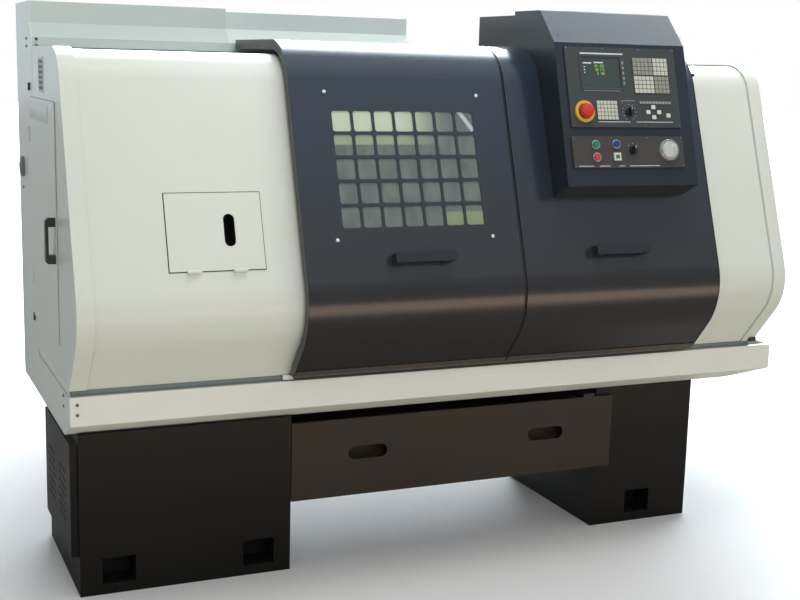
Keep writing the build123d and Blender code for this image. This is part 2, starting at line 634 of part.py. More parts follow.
def end_door():
    # Belt door with two hinge knuckles on its rear edge
    y0, y1, z0, z1 = END_DOOR
    door = block(-3.5, -0.5, y0, y1, z0, z1)
    for z in END_DOOR_HINGES:
        door += rod_z(-5, y1 + 3, z - 22, z + 22, 4)
    return door


def end_door_handle():
    y, z0, z1 = 95.0, 966.0, 1097.0
    reach = -END_HANDLE_REACH
    bar = block(reach, reach + 9, y - 11, y + 11, z0, z1)
    for z, far in ((z0, z0 + 26), (z1 - 26, z1)):
        bar += block(reach, -3.5, y - 11, y + 11, z, far)
    return chamfer(bar.edges().filter_by(Axis.Y).group_by(Axis.X)[0], 7)


def right_casing():
    skin = profile_skin(0, RIGHT_CASING_START, RIGHT_CAP_START)
    return skin + profile_skin(0, RIGHT_CASING_START, RIGHT_CASING_START + SHEET, thick=30)


def right_end_cover():
    cap = profile_solid(END_CAP_PROUD, RIGHT_CAP_START, RIGHT_COVER_END, RAIL_Y - 4)
    cap -= profile_solid(END_CAP_PROUD - SHEET, RIGHT_CAP_START - 1, RIGHT_COVER_END - SHEET, RAIL_Y, CASING_FOOT - 50)
    cap += block(RIGHT_COVER_END - SHEET, RIGHT_COVER_END, RAIL_Y - 10, 560, TRAY_LIP_Z, 1594)
    cap += block(RIGHT_COVER_END - SHEET, RIGHT_COVER_END, TRAY_FRONT + 20, RAIL_Y, TRAY_LIP_Z, CASING_FOOT + 1)
    for k in range(6):
        cap -= block(RIGHT_COVER_END - 10, RIGHT_COVER_END + 5, 120 + k * 50, 140 + k * 50, 800, 950)
    return cap


def top_rail():
    # Guide rail on which the two doors hang, fixed to the rear covers
    section = [
        (RAIL_Y, 1568), (535, 1568), (535, 1594), (RAIL_Y, 1594),
    ]
    rail = prism_x(section, SHEET, RIGHT_COVER_END - SHEET)
    return rail - block(SHEET + 5, RIGHT_COVER_END - SHEET - 5, RAIL_Y + 4, 540, 1572, 1590)


def lower_rail():
    # Recessed runner on the tray that guides the doors' lower edge
    end = RIGHT_COVER_END - SHEET
    start = SHEET + TRAY_SHEET
    return block(start, end, -50, -20, TRAY_LIP_Z - 20, CASING_FOOT) + block(
        start, end, TRAY_FRONT + TRAY_SHEET, -50, TRAY_LIP_Z - 20, TRAY_LIP_Z - 12)


def rear_section(front_top, z_top, z_bottom):
    return [
        (COVER_BACK, z_bottom), (COVER_BACK, z_top), (front_top, z_top), (front_top, 1640), (RAIL_Y + 2, 1596),
        (RAIL_Y + 2, 1594), (535, 1594), (535, z_bottom),
    ]


def rear_shell(x0, x1, z_top, z_bottom=TRAY_LIP_Z):
    t = SHEET
    outer = prism_x(rear_section(535, z_top, z_bottom), x0, x1)
    inner = [
        (COVER_BACK - t, z_bottom - 1), (COVER_BACK - t, z_top - t), (535 + t, z_top - t), (535 + t, 1641),
        (RAIL_Y + 8, 1599), (535 + t, 1597), (535 + t, z_bottom - 1),
    ]
    return outer - prism_x(inner, x0 + t, x1 - t)


def rear_cover_tall():
    # Tall cover behind the headstock, open underneath, with cooling louvres
    cover = rear_shell(SHEET, 615, COVER_TOP)
    for k in range(8):
        cover -= block(180, 440, COVER_BACK - 10, COVER_BACK + 5, 1150 + k * 34, 1162 + k * 34)
    return cover


def rear_cover_low():
    return rear_shell(615, 1250, COVER_TOP - 10)


def splash_back():
    # Sheet wall behind the work area, from the rear covers to the right end
    wall = block(1250, RIGHT_COVER_END - SHEET, 535, 538, TRAY_LIP_Z, 1594)
    return wall + block(1250, RIGHT_COVER_END - SHEET, 538, 552, TRAY_LIP_Z, TRAY_LIP_Z + 12)


def electrical_cabinet():
    x0, x1, y0, y1, z0, z1 = CABINET
    t = SHEET
    shell = block(x0, x1, y0, y1, z0, z1)
    shell -= prism_y([(x1 - 90, z1), (x1, z1 - 83), (x1 + 1, z1 + 1)], y0 - 5, y1 + 5)
    hollow = block(x0 + t, x1 - t, y0 + t, y1 + 1, z0 + t, z1 - t)
    hollow -= prism_y([(x1 - 92, z1 - t), (x1 - t, z1 - 84), (x1 + 1, z1 + 1)], y0 - 5, y1 + 5)
    frame = block(x0 + t, x1 - t, y1 - 20, y1 - 18, z0 + t, z1 - 100) - block(
        x0 + 25, x1 - 25, y1 - 25, y1, z0 + 25, z1 - 120)
    shell -= hollow
    # Stand that carries the cabinet over the tray and holds it to the splash back
    shell += frame + block(x0 + 40, x0 + 60, 552, y0 + 1, z0, z0 + 200)
    return shell


def cabinet_door():
    x0, x1, y0, y1, z0, z1 = CABINET
    door = block(x0 + 8, x1 - 8, y1 - 16, y1 - 13, z0 + 10, z1 - 106)
    for z in (800, 1480):
        door += rod_z(x0 + 12, y1 - 10, z - 30, z + 30, 4)
    return door + rod_y(x1 - 45, y1 - 14, y1 - 2, 1150, 14)


# Doors
def door_shell(x0, x1):
    outer = DOOR_STANDOFF
    door = profile_skin(outer, x0, x1, RAIL_Y - 10, DOOR_FOOT)
    for at in (x0, x1 - SHEET):
        web = profile_solid(outer, at, at + SHEET, RAIL_Y - 10, DOOR_FOOT)
        door += web - profile_solid(DOOR_GAP, at - 1, at + SHEET + 1, RAIL_Y + 50, DOOR_FOOT - 50)
    toe = belly_y(DOOR_FOOT, outer)
    door += block(x0, x1, toe, belly_y(DOOR_FOOT - SHEET, DOOR_GAP), DOOR_FOOT - SHEET, DOOR_FOOT)
    return door


def window_cells(depth):
    plane = face_plane(WINDOW_CENTRE_X, WINDOW_CENTRE_Z, DOOR_STANDOFF + 5)
    cells = []
    for column in range(WINDOW_COLUMNS):
        for row in range(WINDOW_ROWS):
            x = (column - (WINDOW_COLUMNS - 1) / 2) * WINDOW_PITCH[0]
            y = (row - (WINDOW_ROWS - 1) / 2) * WINDOW_PITCH[1]
            outline = plane * Pos(x, y) * RectangleRounded(WINDOW_CELL[0], WINDOW_CELL[1], WINDOW_CORNER)
            cells.append(extrude(outline, -depth))
    return cells


def left_door():
    return door_shell(*LEFT_DOOR) - window_cells(14)


def window_glass():
    plane = face_plane(WINDOW_CENTRE_X, WINDOW_CENTRE_Z, DOOR_STANDOFF - SHEET)
    return plate_on(plane, 500, 400, -5)


def door_handle(x):
    # Bar handle on two feet
    plane = face_plane(x, HANDLE_Z, DOOR_STANDOFF)
    bar = plate_on(plane * Pos(0, 0, HANDLE_PROUD - 12), HANDLE_LENGTH, HANDLE_HEIGHT, 12, 5)
    for side in (-1, 1):
        bar += plane * Pos(side * (HANDLE_LENGTH / 2 - 18), 0, 14) * Box(30, HANDLE_HEIGHT, 28)
    return bar


def right_door():
    return door_shell(*RIGHT_DOOR)


# Control box
def control_box():
    outline = [
        (BOX_BACK_Y, BOX_TOP_Z), (BOX_TOP_Y, BOX_TOP_Z), (BOX_FACE_Y, BOX_FACE_Z), (BOX_LOW_Y, BOX_LOW_Z),
        (BOX_UNDER_Y, BOX_UNDER_Z), (0, BOX_UNDER_Z), (BOX_BACK_Y, BOX_UNDER_Z),
    ]
    t = SHEET
    inside = [
        (BOX_BACK_Y - t, BOX_TOP_Z - t), (BOX_TOP_Y + 1, BOX_TOP_Z - t), (BOX_FACE_Y + t, BOX_FACE_Z - 1),
        (BOX_LOW_Y + t + 1, BOX_LOW_Z + t), (BOX_UNDER_Y, BOX_UNDER_Z + t + 1), (BOX_BACK_Y - t, BOX_UNDER_Z + t + 1),
    ]
    shell = prism_x(outline, BOX_LEFT, BOX_RIGHT) - prism_x(inside, BOX_LEFT + t, BOX_RIGHT - t)
    door = profile_solid(DOOR_STANDOFF, BOX_LEFT - 5, BOX_RIGHT + 5, RAIL_Y, DOOR_FOOT)
    shell -= door
    # Flange that seats the box on the door, and the cable duct over the top
    for x, down, width, height in (UPPER_PANEL, LOWER_PANEL):
        shell -= plate_on(box_plane(x, down, -10), width - 16, height - 16, 20)
    flange = prism_x(outline, BOX_LEFT, BOX_RIGHT) & profile_solid(
        DOOR_STANDOFF + t, BOX_LEFT, BOX_RIGHT, RAIL_Y, DOOR_FOOT)
    shell += flange - door
    low = CASING_TOP + DOOR_STANDOFF
    x0, x1 = BOX_LEFT + 4, BOX_LEFT + DUCT_WIDTH
    duct = block(x0, x1, BOX_BACK_Y, DUCT_BACK_Y, low, DUCT_TOP_Z)
    duct -= block(x0 + t, x1 - t, BOX_BACK_Y - 10, DUCT_BACK_Y - t, low + t, DUCT_TOP_Z - t)
    # Hand screws that lock the front frame
    for down in HAND_SCREWS:
        plane = box_plane(BOX_RIGHT - BOX_LEFT, down, -30)
        shell += plane * Pos(7, 0, 0) * Rot(0, 90, 0) * Cylinder(8, 16)
    return shell + duct


def upper_panel():
    x, down, width, height = UPPER_PANEL
    panel = plate_on(box_plane(x, down), width, height, PANEL_THICK, 3)
    panel -= plate_on(box_plane(SCREEN[0], SCREEN[1], PANEL_THICK - 3), SCREEN[2], SCREEN[3], 5)
    # Raised membrane key fields and the emergency stop's ring
    for x, down, width, height in KEY_FIELDS:
        panel += plate_on(box_plane(x, down, PANEL_THICK - 0.5), width, height, 1.7)
    panel += disc_on(box_plane(*ESTOP, PANEL_THICK - 0.5), 33, 6.5)
    panel -= disc_on(box_plane(*FEED_KNOB, -1), 6.2, 10)
    return panel - disc_on(box_plane(*ESTOP, -1), 12.3, 16)


def lower_panel():
    x, down, width, height = LOWER_PANEL
    panel = plate_on(box_plane(x, down), width, height, PANEL_THICK, 3)
    for spot in (GREEN, RED, BLUE):
        panel += disc_on(box_plane(*spot, PANEL_THICK), 14, 3)
        panel -= disc_on(box_plane(*spot, -1), 10.3, 12)
    panel -= plate_on(box_plane(*LAMP, -1), 24.6, 24.6, 12)
    panel -= disc_on(box_plane(*MODE_KNOB, -1), 6.2, 10)
    return panel - disc_on(box_plane(*DIAL, -1), 12.3, 10)


def screen():
    return plate_on(box_plane(SCREEN[0], SCREEN[1], PANEL_THICK - 3), SCREEN[2], SCREEN[3], 2)


def emergency_stop():
    start = PANEL_THICK + 6 + BUTTON_TRAVEL + 0.5
    cap = disc_on(box_plane(*ESTOP, start), 21, 16)
    cap = fillet(cap.edges().sort_by(Axis.Y)[0], 3)
    return cap + disc_on(box_plane(*ESTOP, -12), 12, start + 12)


def push_button(spot):
    return disc_on(box_plane(*spot, -10), 10, PANEL_THICK + 18)


def lamp_button():
    return plate_on(box_plane(*LAMP, -8), 24, 24, PANEL_THICK + 14)


def rotary_knob(spot):
    knob = disc_on(box_plane(*spot, PANEL_THICK + 0.4), 13, 7)
    grip = plate_on(box_plane(*spot, PANEL_THICK + 7), 9, 25, 10, 2)
    return knob + grip + disc_on(box_plane(*spot, -8), 6, PANEL_THICK + 9)


def hand_dial():
    # Hand-turned pulse wheel with a small crank knob
    base = disc_on(box_plane(*DIAL, PANEL_THICK + 0.4), 33, 9)
    face = disc_on(box_plane(*DIAL, PANEL_THICK + 9), 24, 5)
    grip = disc_on(box_plane(DIAL[0] + 12, DIAL[1] - 8, PANEL_THICK + 13), 6, 10)
    return base + face + grip + disc_on(box_plane(*DIAL, -10), 12, PANEL_THICK + 12)


def parts():
    return {
        "left_pedestal": left_pedestal(),
        "right_pedestal": right_pedestal(),
        "vent_cover": vent_cover(),
        "chip_tray": chip_tray(),
        "coolant_drawer": coolant_drawer(),
        "bed": bed(),
        "headstock": headstock(),
        "spindle": spindle(),
        "chuck": chuck(),
        "chuck_jaw_1": chuck_jaw(0),
        "chuck_jaw_2": chuck_jaw(1),
        "chuck_jaw_3": chuck_jaw(2),
        "spindle_pulley": spindle_pulley(),
        "motor_pulley": motor_pulley(),
        "drive_belt": drive_belt(),
        "main_motor": main_motor(),
        "lead_screw": lead_screw(),
        "feed_motor": feed_motor(),
        "carriage": carriage(),
        "cross_slide": cross_slide(),
        "cross_motor": cross_motor(),
        "turret_base": turret_base(),
        "turret_head": turret_head(),
        "cutting_tools": cutting_tools(),
        "tailstock": tailstock(),
        "tailstock_quill": tailstock_quill(),
        "live_centre": live_centre(),
        "tailstock_handwheel": tailstock_handwheel(),
        "clamp_lever": clamp_lever(),
        "left_casing": left_casing(),
        "access_flap": access_flap(),
        "left_end_cover": left_end_cover(),
        "end_door": end_door(),
        "end_door_handle": end_door_handle(),
        "right_casing": right_casing(),
        "right_end_cover": right_end_cover(),
        "top_rail": top_rail(),
        "lower_rail": lower_rail(),
        "rear_cover_tall": rear_cover_tall(),
        "rear_cover_low": rear_cover_low(),
        "splash_back": splash_back(),
        "electrical_cabinet": electrical_cabinet(),
        "cabinet_door": cabinet_door(),
        "left_door": left_door(),
        "window_glass": window_glass(),
        "left_door_handle": door_handle(LEFT_HANDLE_X),
        "right_door": right_door(),
        "right_door_handle": door_handle(RIGHT_HANDLE_X),
        "control_box": control_box(),
        "upper_panel": upper_panel(),
        "lower_panel": lower_panel(),
        "screen": screen(),
        "emergency_stop": emergency_stop(),
        "green_button": push_button(GREEN),
        "red_button": push_button(RED),
        "blue_button": push_button(BLUE),
        "lamp_button": lamp_button(),
        "mode_knob": rotary_knob(MODE_KNOB),
        "feed_knob": rotary_knob(FEED_KNOB),
        "hand_dial": hand_dial(),
    }


# The door handles reach furthest forward
FRONT_REACH = HANDLE_PROUD * cos(FRONT_LEAN) + HANDLE_HEIGHT / 2 * sin(FRONT_LEAN) - front_y(HANDLE_Z, DOOR_STANDOFF)
ORIGIN = Pos((END_HANDLE_REACH - TRAY_LENGTH) / 2, (FRONT_REACH - COVER_BACK) / 2, 0)

if __name__ == "__main__":
    os.makedirs("parts", exist_ok=True)
    for name, solid in parts().items():
        export_step(ORIGIN * solid, f"parts/{name}.step")
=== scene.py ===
import math

import bmesh
import bpy
from mathutils import Matrix, Vector


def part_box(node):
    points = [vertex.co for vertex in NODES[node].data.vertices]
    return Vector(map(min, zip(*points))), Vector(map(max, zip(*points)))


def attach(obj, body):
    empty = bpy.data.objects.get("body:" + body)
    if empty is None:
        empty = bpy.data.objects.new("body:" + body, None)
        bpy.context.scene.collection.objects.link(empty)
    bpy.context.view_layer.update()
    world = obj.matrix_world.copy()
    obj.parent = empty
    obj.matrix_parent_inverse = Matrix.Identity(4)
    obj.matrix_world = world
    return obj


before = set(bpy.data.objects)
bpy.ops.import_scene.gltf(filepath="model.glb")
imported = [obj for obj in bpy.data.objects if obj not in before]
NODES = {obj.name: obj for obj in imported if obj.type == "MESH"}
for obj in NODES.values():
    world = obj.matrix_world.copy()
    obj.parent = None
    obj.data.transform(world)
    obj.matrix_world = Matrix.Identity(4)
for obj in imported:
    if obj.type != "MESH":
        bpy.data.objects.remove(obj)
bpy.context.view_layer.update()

# Places are given in the machine's own millimetres: X from the left end, Y from the left pedestal's front,
# Z from the floor. The tray's far corner ties them to the row frame.
TRAY_END_X = 2400.0
TRAY_BACK_Y = 831.0
TRAY_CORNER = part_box("chip_tray")[1]
MM = 0.001
SMOOTH_ANGLE = math.radians(38.0)

# The enclosure's front, its doors and the control box's face, in the same millimetres. The front and the
# belly below it are planes through the given Y and Z, with slopes as Y over Z
FRONT_SLOPE = 0.347
FRONT_Y = -12.0
FRONT_Z = 1450.0
FRONT_LEAN = math.atan(FRONT_SLOPE)
DOOR_STANDOFF = 43.0
DOOR_FOOT = 642.0
CASING_TOP = 1563.0
TOP_RADIUS = 110.0
CAP_START = 2277.0
BELLY_SLOPE = 0.83
BELLY_Y = -74.0
BELLY_Z = 650.0
BELLY_RADIUS = 160.0
BELLY_LEAN = math.atan(BELLY_SLOPE)
BOX_LEFT = 1451.0
BOX_RIGHT = 1921.0
BOX_FACE_Y = -120.0
BOX_FACE_Z = 1622.0
BOX_FOOT_Y = -246.0
BOX_FOOT_Z = 1196.0
BOX_LEAN = math.atan((BOX_FACE_Y - BOX_FOOT_Y) / (BOX_FACE_Z - BOX_FOOT_Z))
PANEL_THICK = 6.0

# The photograph's camera
CAMERA_PLACE = (-566.54, -3598.53, 1547.08)
CAMERA_YAW = math.radians(23.76)
CAMERA_PITCH = math.radians(10.36)
CAMERA_ROLL = math.radians(-1.5)
CAMERA_LENS = 58.33
SENSOR_WIDTH = 36.0
CAMERA_REACH = 60

# Left end, as (Y, Z) on its face or (X, Y, Z) on the front
RAIL_END_SCREWS = ((596, 1592), (596, 1569))
TRAY_END_SCREWS = ((26, 600), (24, 570))
FRONT_CORNER_SCREWS = ((14, 490, 1590), (14, 490, 1571), (21, -70, 594), (21, -70, 565))
END_HINGE_Y = 552.0
END_HINGES_Z = (1447.0, 1302.0, 857.0, 728.0)
END_VENT = (312, 1487)
END_VENT_SIZE = (94, 106)
VENT_BLADE_PITCH = 15
VENT_BLADES = 7
REAR_PLUG = (735, 1188)
REAR_SCREW = (741, 1121)
END_DOOR_CENTRE = (310, 1075.5)
END_DOOR_SEAM_SIZE = (475, 686)
END_DOOR_FACE_X = -3.5
END_PLATE = (356, 1376)
END_PLATE_SIZE = (349, 48)
SKIRT = (193, 634)
SKIRT_SIZE = (540, 26)

# Doors and casings
DOOR_SCREWS = ((738, 1461), (1226, 1456), (734, 1049), (1228, 1047))
LEFT_SEAL_X = (1317.5, 1323.4)
RIGHT_SEAL_X = (2027.0, 2029.8)
SEAL_DEPTH = (DOOR_STANDOFF - 1, DOOR_STANDOFF + 0.8)
LEFT_HEM_X = (633, 1322)
RIGHT_HEM_X = (1328, 2029)
HEM_Z = (DOOR_FOOT + 2, DOOR_FOOT + 17)
HEM_LIFT = (0.5, 2.5)
DOOR_STOP = (2029.5, -19, 1533)
HANDLES = (("left_handle_caps", "left_door", 989.0), ("right_handle_caps", "right_door", 1658.0))
HANDLE_Z = 991.0
HANDLE_PROUD = 38.0
HANDLE_CAP_X = 78.0
FLAP_CENTRE = (392, 1076)
FLAP_GAP_SHADOW_SIZE = (277, 224)
CAP_SEAM_X = (CAP_START - 3, CAP_START - 0.2)
CAP_SEAM_DEPTH = (-0.5, 2.9)
RIGHT_FOOT = (2312, -72, 642)
TRAY_BLOCK = (633, -62, 629)
BOX_EDGE_HIGHLIGHT = (-159.5, 1157)
CROWN_STEPS = 8
KNEE_STEPS = 12
FRONT_POINTS_Z = (1300, 1150, 1000)
BELLY_POINTS_Z = (700, DOOR_FOOT + 1)

# Operator panels, in millimetres right of and down from the upper left corner of the box's face
DISPLAY = (152, 94)
DISPLAY_ROWS = ("104 250", " 68 315", "  0 182")
DIGITS_LEFT = 128.0
DIGITS_DOWN = 69.0
DIGIT_ROW = 11.5
DIGIT_HEIGHT = 7.5
SCREEN_BARS = ((90, 62, 120, 66), (128, 60, 162, 64), (92, 74, 96, 78), (92, 83, 96, 87), (92, 92, 96, 96))
PANEL_BARS = (
    (82, 32, 235, 36.5), (84, 149, 216, 151), (125, 246, 240, 248), (262, 246, 396, 248),
    (40, 383, 92, 385), (112, 383, 150, 385), (182, 383, 204, 385), (222, 383, 330, 385),
    (215, 180, 262, 180.8), (215, 180, 215.8, 190),
)
SOFT_KEYS = (229, 62)
SOFT_KEY_PITCH = 16
ARROW_KEYS = ((327, 200), (307, 216), (347, 216), (327, 232))
RAPID_KEY = (381, 226)
STOP = (78, 216)
FEED_KNOB = (239, 216)
MODE_KNOB = (238, 336)
PUSH_BUTTONS = ((105, 318), (105, 357), (178, 317))
LAMP_LENS = (177, 356)
PULSE_DIAL = (367, 336)
PULSE_MARKS = 50
PANEL_SCREWS = (
    (165, 19), (294, 19), (163, 259), (293, 259), (34, 19), (420, 19), (34, 259), (420, 259),
    (30, 297), (418, 297), (30, 385), (418, 385), (163, 297), (293, 297),
)
KEY_RISE = PANEL_THICK + 1.2
SCREEN_LIFT = PANEL_THICK - 1.0
KEY_GAP = 1.6
SOFT_KEY_COUNT = 5
BEZEL_SIZE = (152, 112)
STOP_RING_LIFT = PANEL_THICK + 0.6
STOP_CROWN_LIFT = PANEL_THICK + 9.5
STOP_CROWN = ((21.2, 0.4), (21.6, 8), (21.3, 13), (19.5, 16.4), (15, 18.2), (8, 18.9), (2, 19.1))
KNOB_TOP = PANEL_THICK + 17
POINTER_UP = 8
PULSE_MARK_RADIUS = 29.5

# How far details and prints sink into what carries them
SINK = 0.1
PRINT_SINK = 0.05

# Textures: their scales in waves per metre, their depths and the rounded edges in metres
CLOUD_SCALE = 2.2
MOTTLE_SCALE = 38.0
PEEL_SCALE = 420.0
TOOL_MARK_SCALE = 260.0
SPARK_SCALE = 900.0
ENAMEL_PEEL = 0.00002
ENAMEL_EDGE = 0.0015
METAL_GRAIN = 0.000015
METAL_EDGE = 0.0006
PLASTIC_EDGE = 0.0005

# Enamels: the roughness of the clear coat, and what is special to the doors and the left end cover
COAT_ROUGHNESS = 0.12
LEFT_TURN = (-0.5, -0.9)
DOOR_ROUGHNESS = (0.176, 0.275)
DOOR_COAT = 0.6
DOOR_CLOUD = (-0.06, 0.06)
DOOR_TONE_Z = (0.78, 1.5)
SIDE_ROUGHNESS = (0.28, 0.42)
SIDE_COAT = 0.3
SIDE_CLOUD = 0.025

# Room and lamps. The limits are parts of a direction's length, or metres on the floor
WORLD_LEVEL = 0.38
LEFT_SHADE = 0.88
SHADE_RISE = (-0.9, 0.1)
GLOSSY_TINT = (0.82, 0.92, 1.0)
GLOSSY_ROOM = 0.2
GLOSSY_CEILING = 1.05
CEILING_RISE = (0.15, 0.9)
GLOSSY_BACKDROP = 1.1
BACKDROP_RISE = (0.0, 0.5)
STRIP_LIGHT = 34.0
STRIP_RISE = (0.3, 0.45)
STRIP_FALL = (0.62, 1.0)
STRIP_BEHIND = (0.0, 0.5)
STRIP_RIGHT = (0.0, 0.25)
FLOOR_SIZE = 80
FLOOR_WHITE = (0.8, 0.8, 0.8)
FLOOR_BOUNCE = (0.94, 0.9, 0.74)
FLOOR_MIRRORED = (0.12, 0.1, 0.09)
FLOOR_FADE = (1.0, 2.6)
FLOOR_ROUGHNESS = 0.7
HALL_NEAR = (-3.0, -1.7)
HALL_FAR = (-8.0, -5.0)
HALL_RIGHT = (3.8, 5.2)
HALL_LIGHT = 1.8
HALL_WARMTH = (1.0, 0.72, 0.5)

# Lamps: name, place, aim, size, power in watts, and whether polished faces mirror it
LAMPS = (
    ("overhead", (0.5, -0.9, 3.9), (0.2, -0.2, 0.9), (2.8, 1.0), 54, False),
    ("front", (-0.7, -5.2, 2.7), (0, 0, 0.9), (2.0, 2.0), 71, False),
    ("left", (-4.6, -0.8, 0.5), (-1.0, 0, 0.5), (1.4, 1.0), 5.8, True),
)

# Colours of the misted pane and of what is painted in behind it, and where they change, in row metres
MIST_GREY = ((0.3, (0.135, 0.156, 0.147)), (0.7, (0.225, 0.25, 0.235)))
WALL_SHADOW = (0.37, 0.45, 0.3)
WALL_LIT = (0.65, 0.745, 0.575)
TRAY_SEEN = (0.3, 0.36, 0.21)
GLINT_WHITE = (0.62, 0.65, 0.7)
WALL_END_X = (-0.25, -0.06)
WALL_SHADOW_Z = (1.309, 1.315)
WALL_LIT_Z = (1.338, 1.352)
TRAY_SEEN_X = (-0.108, -0.104)
TRAY_SEEN_Z = (1.122, 1.116)
GLINT_LEAN = 0.75
GLINT_START = (1.024, 1.029)
GLINT_END = (1.045, 1.04)
GLINT_CELL_X = (-0.035, -0.033)
GLINT_CELL_Z = (1.34, 1.345)


# Places and planes
def place(x, y, z):
    """A point of the machine's millimetres in row metres."""
    return Vector((x - TRAY_END_X, y - TRAY_BACK_Y, z)) * MM + Vector((TRAY_CORNER.x, TRAY_CORNER.y, 0))


def basis(origin, right, up, outward):
    """A plane with its X to the right, Y upwards and Z outwards, as a matrix."""
    matrix = Matrix((right, up, outward)).transposed().to_4x4()
    matrix.translation = origin
    return matrix


def on_front(x, z, offset=0.0):
    """A plane on the leaning front: X right, Y up the slope, Z outward."""
    y = FRONT_Y - FRONT_SLOPE * (FRONT_Z - z) - offset / math.cos(FRONT_LEAN)
    up = (0, math.sin(FRONT_LEAN), math.cos(FRONT_LEAN))
    return basis(place(x, y, z), (1, 0, 0), up, (0, -up[2], up[1]))


def on_panel(x, down, offset=0.0):
    """A plane on the control box's face, measured from its upper left corner."""
    up = (0, math.sin(BOX_LEAN), math.cos(BOX_LEAN))
    y = BOX_FACE_Y - down * up[1] - offset * up[2]
    z = BOX_FACE_Z - down * up[2] + offset * up[1]
    return basis(place(BOX_LEFT + x, y, z), (1, 0, 0), up, (0, -up[2], up[1]))


def facing_left(x, y, z):
    return basis(place(x, y, z), (0, -1, 0), (0, 0, 1), (-1, 0, 0))


def facing_right(x, y, z):
    return basis(place(x, y, z), (0, 1, 0), (0, 0, 1), (1, 0, 0))


def facing_front(x, y, z):
    return basis(place(x, y, z), (1, 0, 0), (0, 0, 1), (0, -1, 0))


# Mesh building: a shape is a stack of closed rings in local millimetres
def round_outline(radius, sides):
    return [
        (radius * math.cos(2 * math.pi * k / sides), radius * math.sin(2 * math.pi * k / sides))
        for k in range(sides)
    ]


def box_outline(width, height, corner, steps=5):
    corner = max(corner, 0.05)
    points = []
    for quarter, (sx, sy) in enumerate(((1, 1), (-1, 1), (-1, -1), (1, -1))):
        cx, cy = sx * (width / 2 - corner), sy * (height / 2 - corner)
        for k in range(steps + 1):
            angle = (quarter + k / steps) * math.pi / 2
            points.append((cx + corner * math.cos(angle), cy + corner * math.sin(angle)))
    return points


def stack(matrix, levels):
    """Levels are (outline, height) pairs from the bottom up; the ends are closed."""
    rings = [[matrix @ (Vector((x, y, z)) * MM) for x, y in outline] for outline, z in levels]
    return rings, False


def rounded_top(outline_at, height, bevel):
    """Levels of a bevel that turns in a quarter circle below the height."""
    levels = []
    for share in (0.35, 0.75, 1.0):
        inset = bevel * (1 - math.cos(share * math.pi / 2))
        rise = bevel * math.sin(share * math.pi / 2)
        levels.append((outline_at(inset), height - bevel + rise))
    return levels


def slab(matrix, width, height, depth, corner, bevel):
    """A plate with round corners and a bevelled top edge."""
    def outline_at(inset):
        return box_outline(width - 2 * inset, height - 2 * inset, corner - inset)

    levels = [(outline_at(0), 0), (outline_at(0), depth - bevel)]
    return stack(matrix, levels + rounded_top(outline_at, depth, bevel))


def disc(matrix, radius, depth, bevel, sides=32):
    """A round plate with a bevelled top edge."""
    def outline_at(inset):
        return round_outline(radius - inset, sides)

    levels = [(outline_at(0), 0), (outline_at(0), depth - bevel)]
    return stack(matrix, levels + rounded_top(outline_at, depth, bevel))


def turned_ring(matrix, outlines):
    """A closed ring whose section runs through the given (outline, height) pairs."""
    rings = [[matrix @ (Vector((x, y, z)) * MM) for x, y in outline] for outline, z in outlines]
    return rings, True


def washer(matrix, outer, inner, depth, bevel, sides=40):
    """A flat round ring with bevelled edges, given by its radii."""
    section = (
        (outer, 0), (outer, depth - bevel), (outer - bevel, depth),
        (inner + bevel, depth), (inner, depth - bevel), (inner, 0),
    )
    return turned_ring(matrix, [(round_outline(radius, sides), z) for radius, z in section])


def frame_ring(matrix, width, height, border, depth, corner, bevel):
    """A rectangular frame with round corners and bevelled edges."""
    section = (
        (0, 0), (0, depth - bevel), (bevel, depth),
        (border - bevel, depth), (border, depth - bevel), (border, 0),
    )
    outlines = [(box_outline(width - 2 * inset, height - 2 * inset, corner), z) for inset, z in section]
    return turned_ring(matrix, outlines)


def add_shape(bm, shape):
    """Joins the rings of a shape with faces; a shape that isn't closed gets two end faces."""
    rings, closed = shape
    loops = [[bm.verts.new(point) for point in ring] for ring in rings]
    count = len(loops[0])
    pairs = list(zip(loops, loops[1:] + loops[:1] if closed else loops[1:]))
    for lower, upper in pairs:
        for k in range(count):
            after = (k + 1) % count
            bm.faces.new((lower[k], lower[after], upper[after], upper[k]))
    if not closed:
        bm.faces.new(list(reversed(loops[0])))
        bm.faces.new(loops[-1])


def piece(name, body, material, shapes):
    """One mesh of several shapes that moves with a body and its look."""
    bm = bmesh.new()
    for shape in shapes:
        add_shape(bm, shape)
    bmesh.ops.recalc_face_normals(bm, faces=bm.faces)
    mesh = bpy.data.meshes.new(name)
    bm.to_mesh(mesh)
    bm.free()
    for polygon in mesh.polygons:
        polygon.use_smooth = True
    mesh.set_sharp_from_angle(angle=SMOOTH_ANGLE)
    mesh.materials.append(material)
    obj = bpy.data.objects.new(name, mesh)
    bpy.context.scene.collection.objects.link(obj)
    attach(obj, body)
    return obj


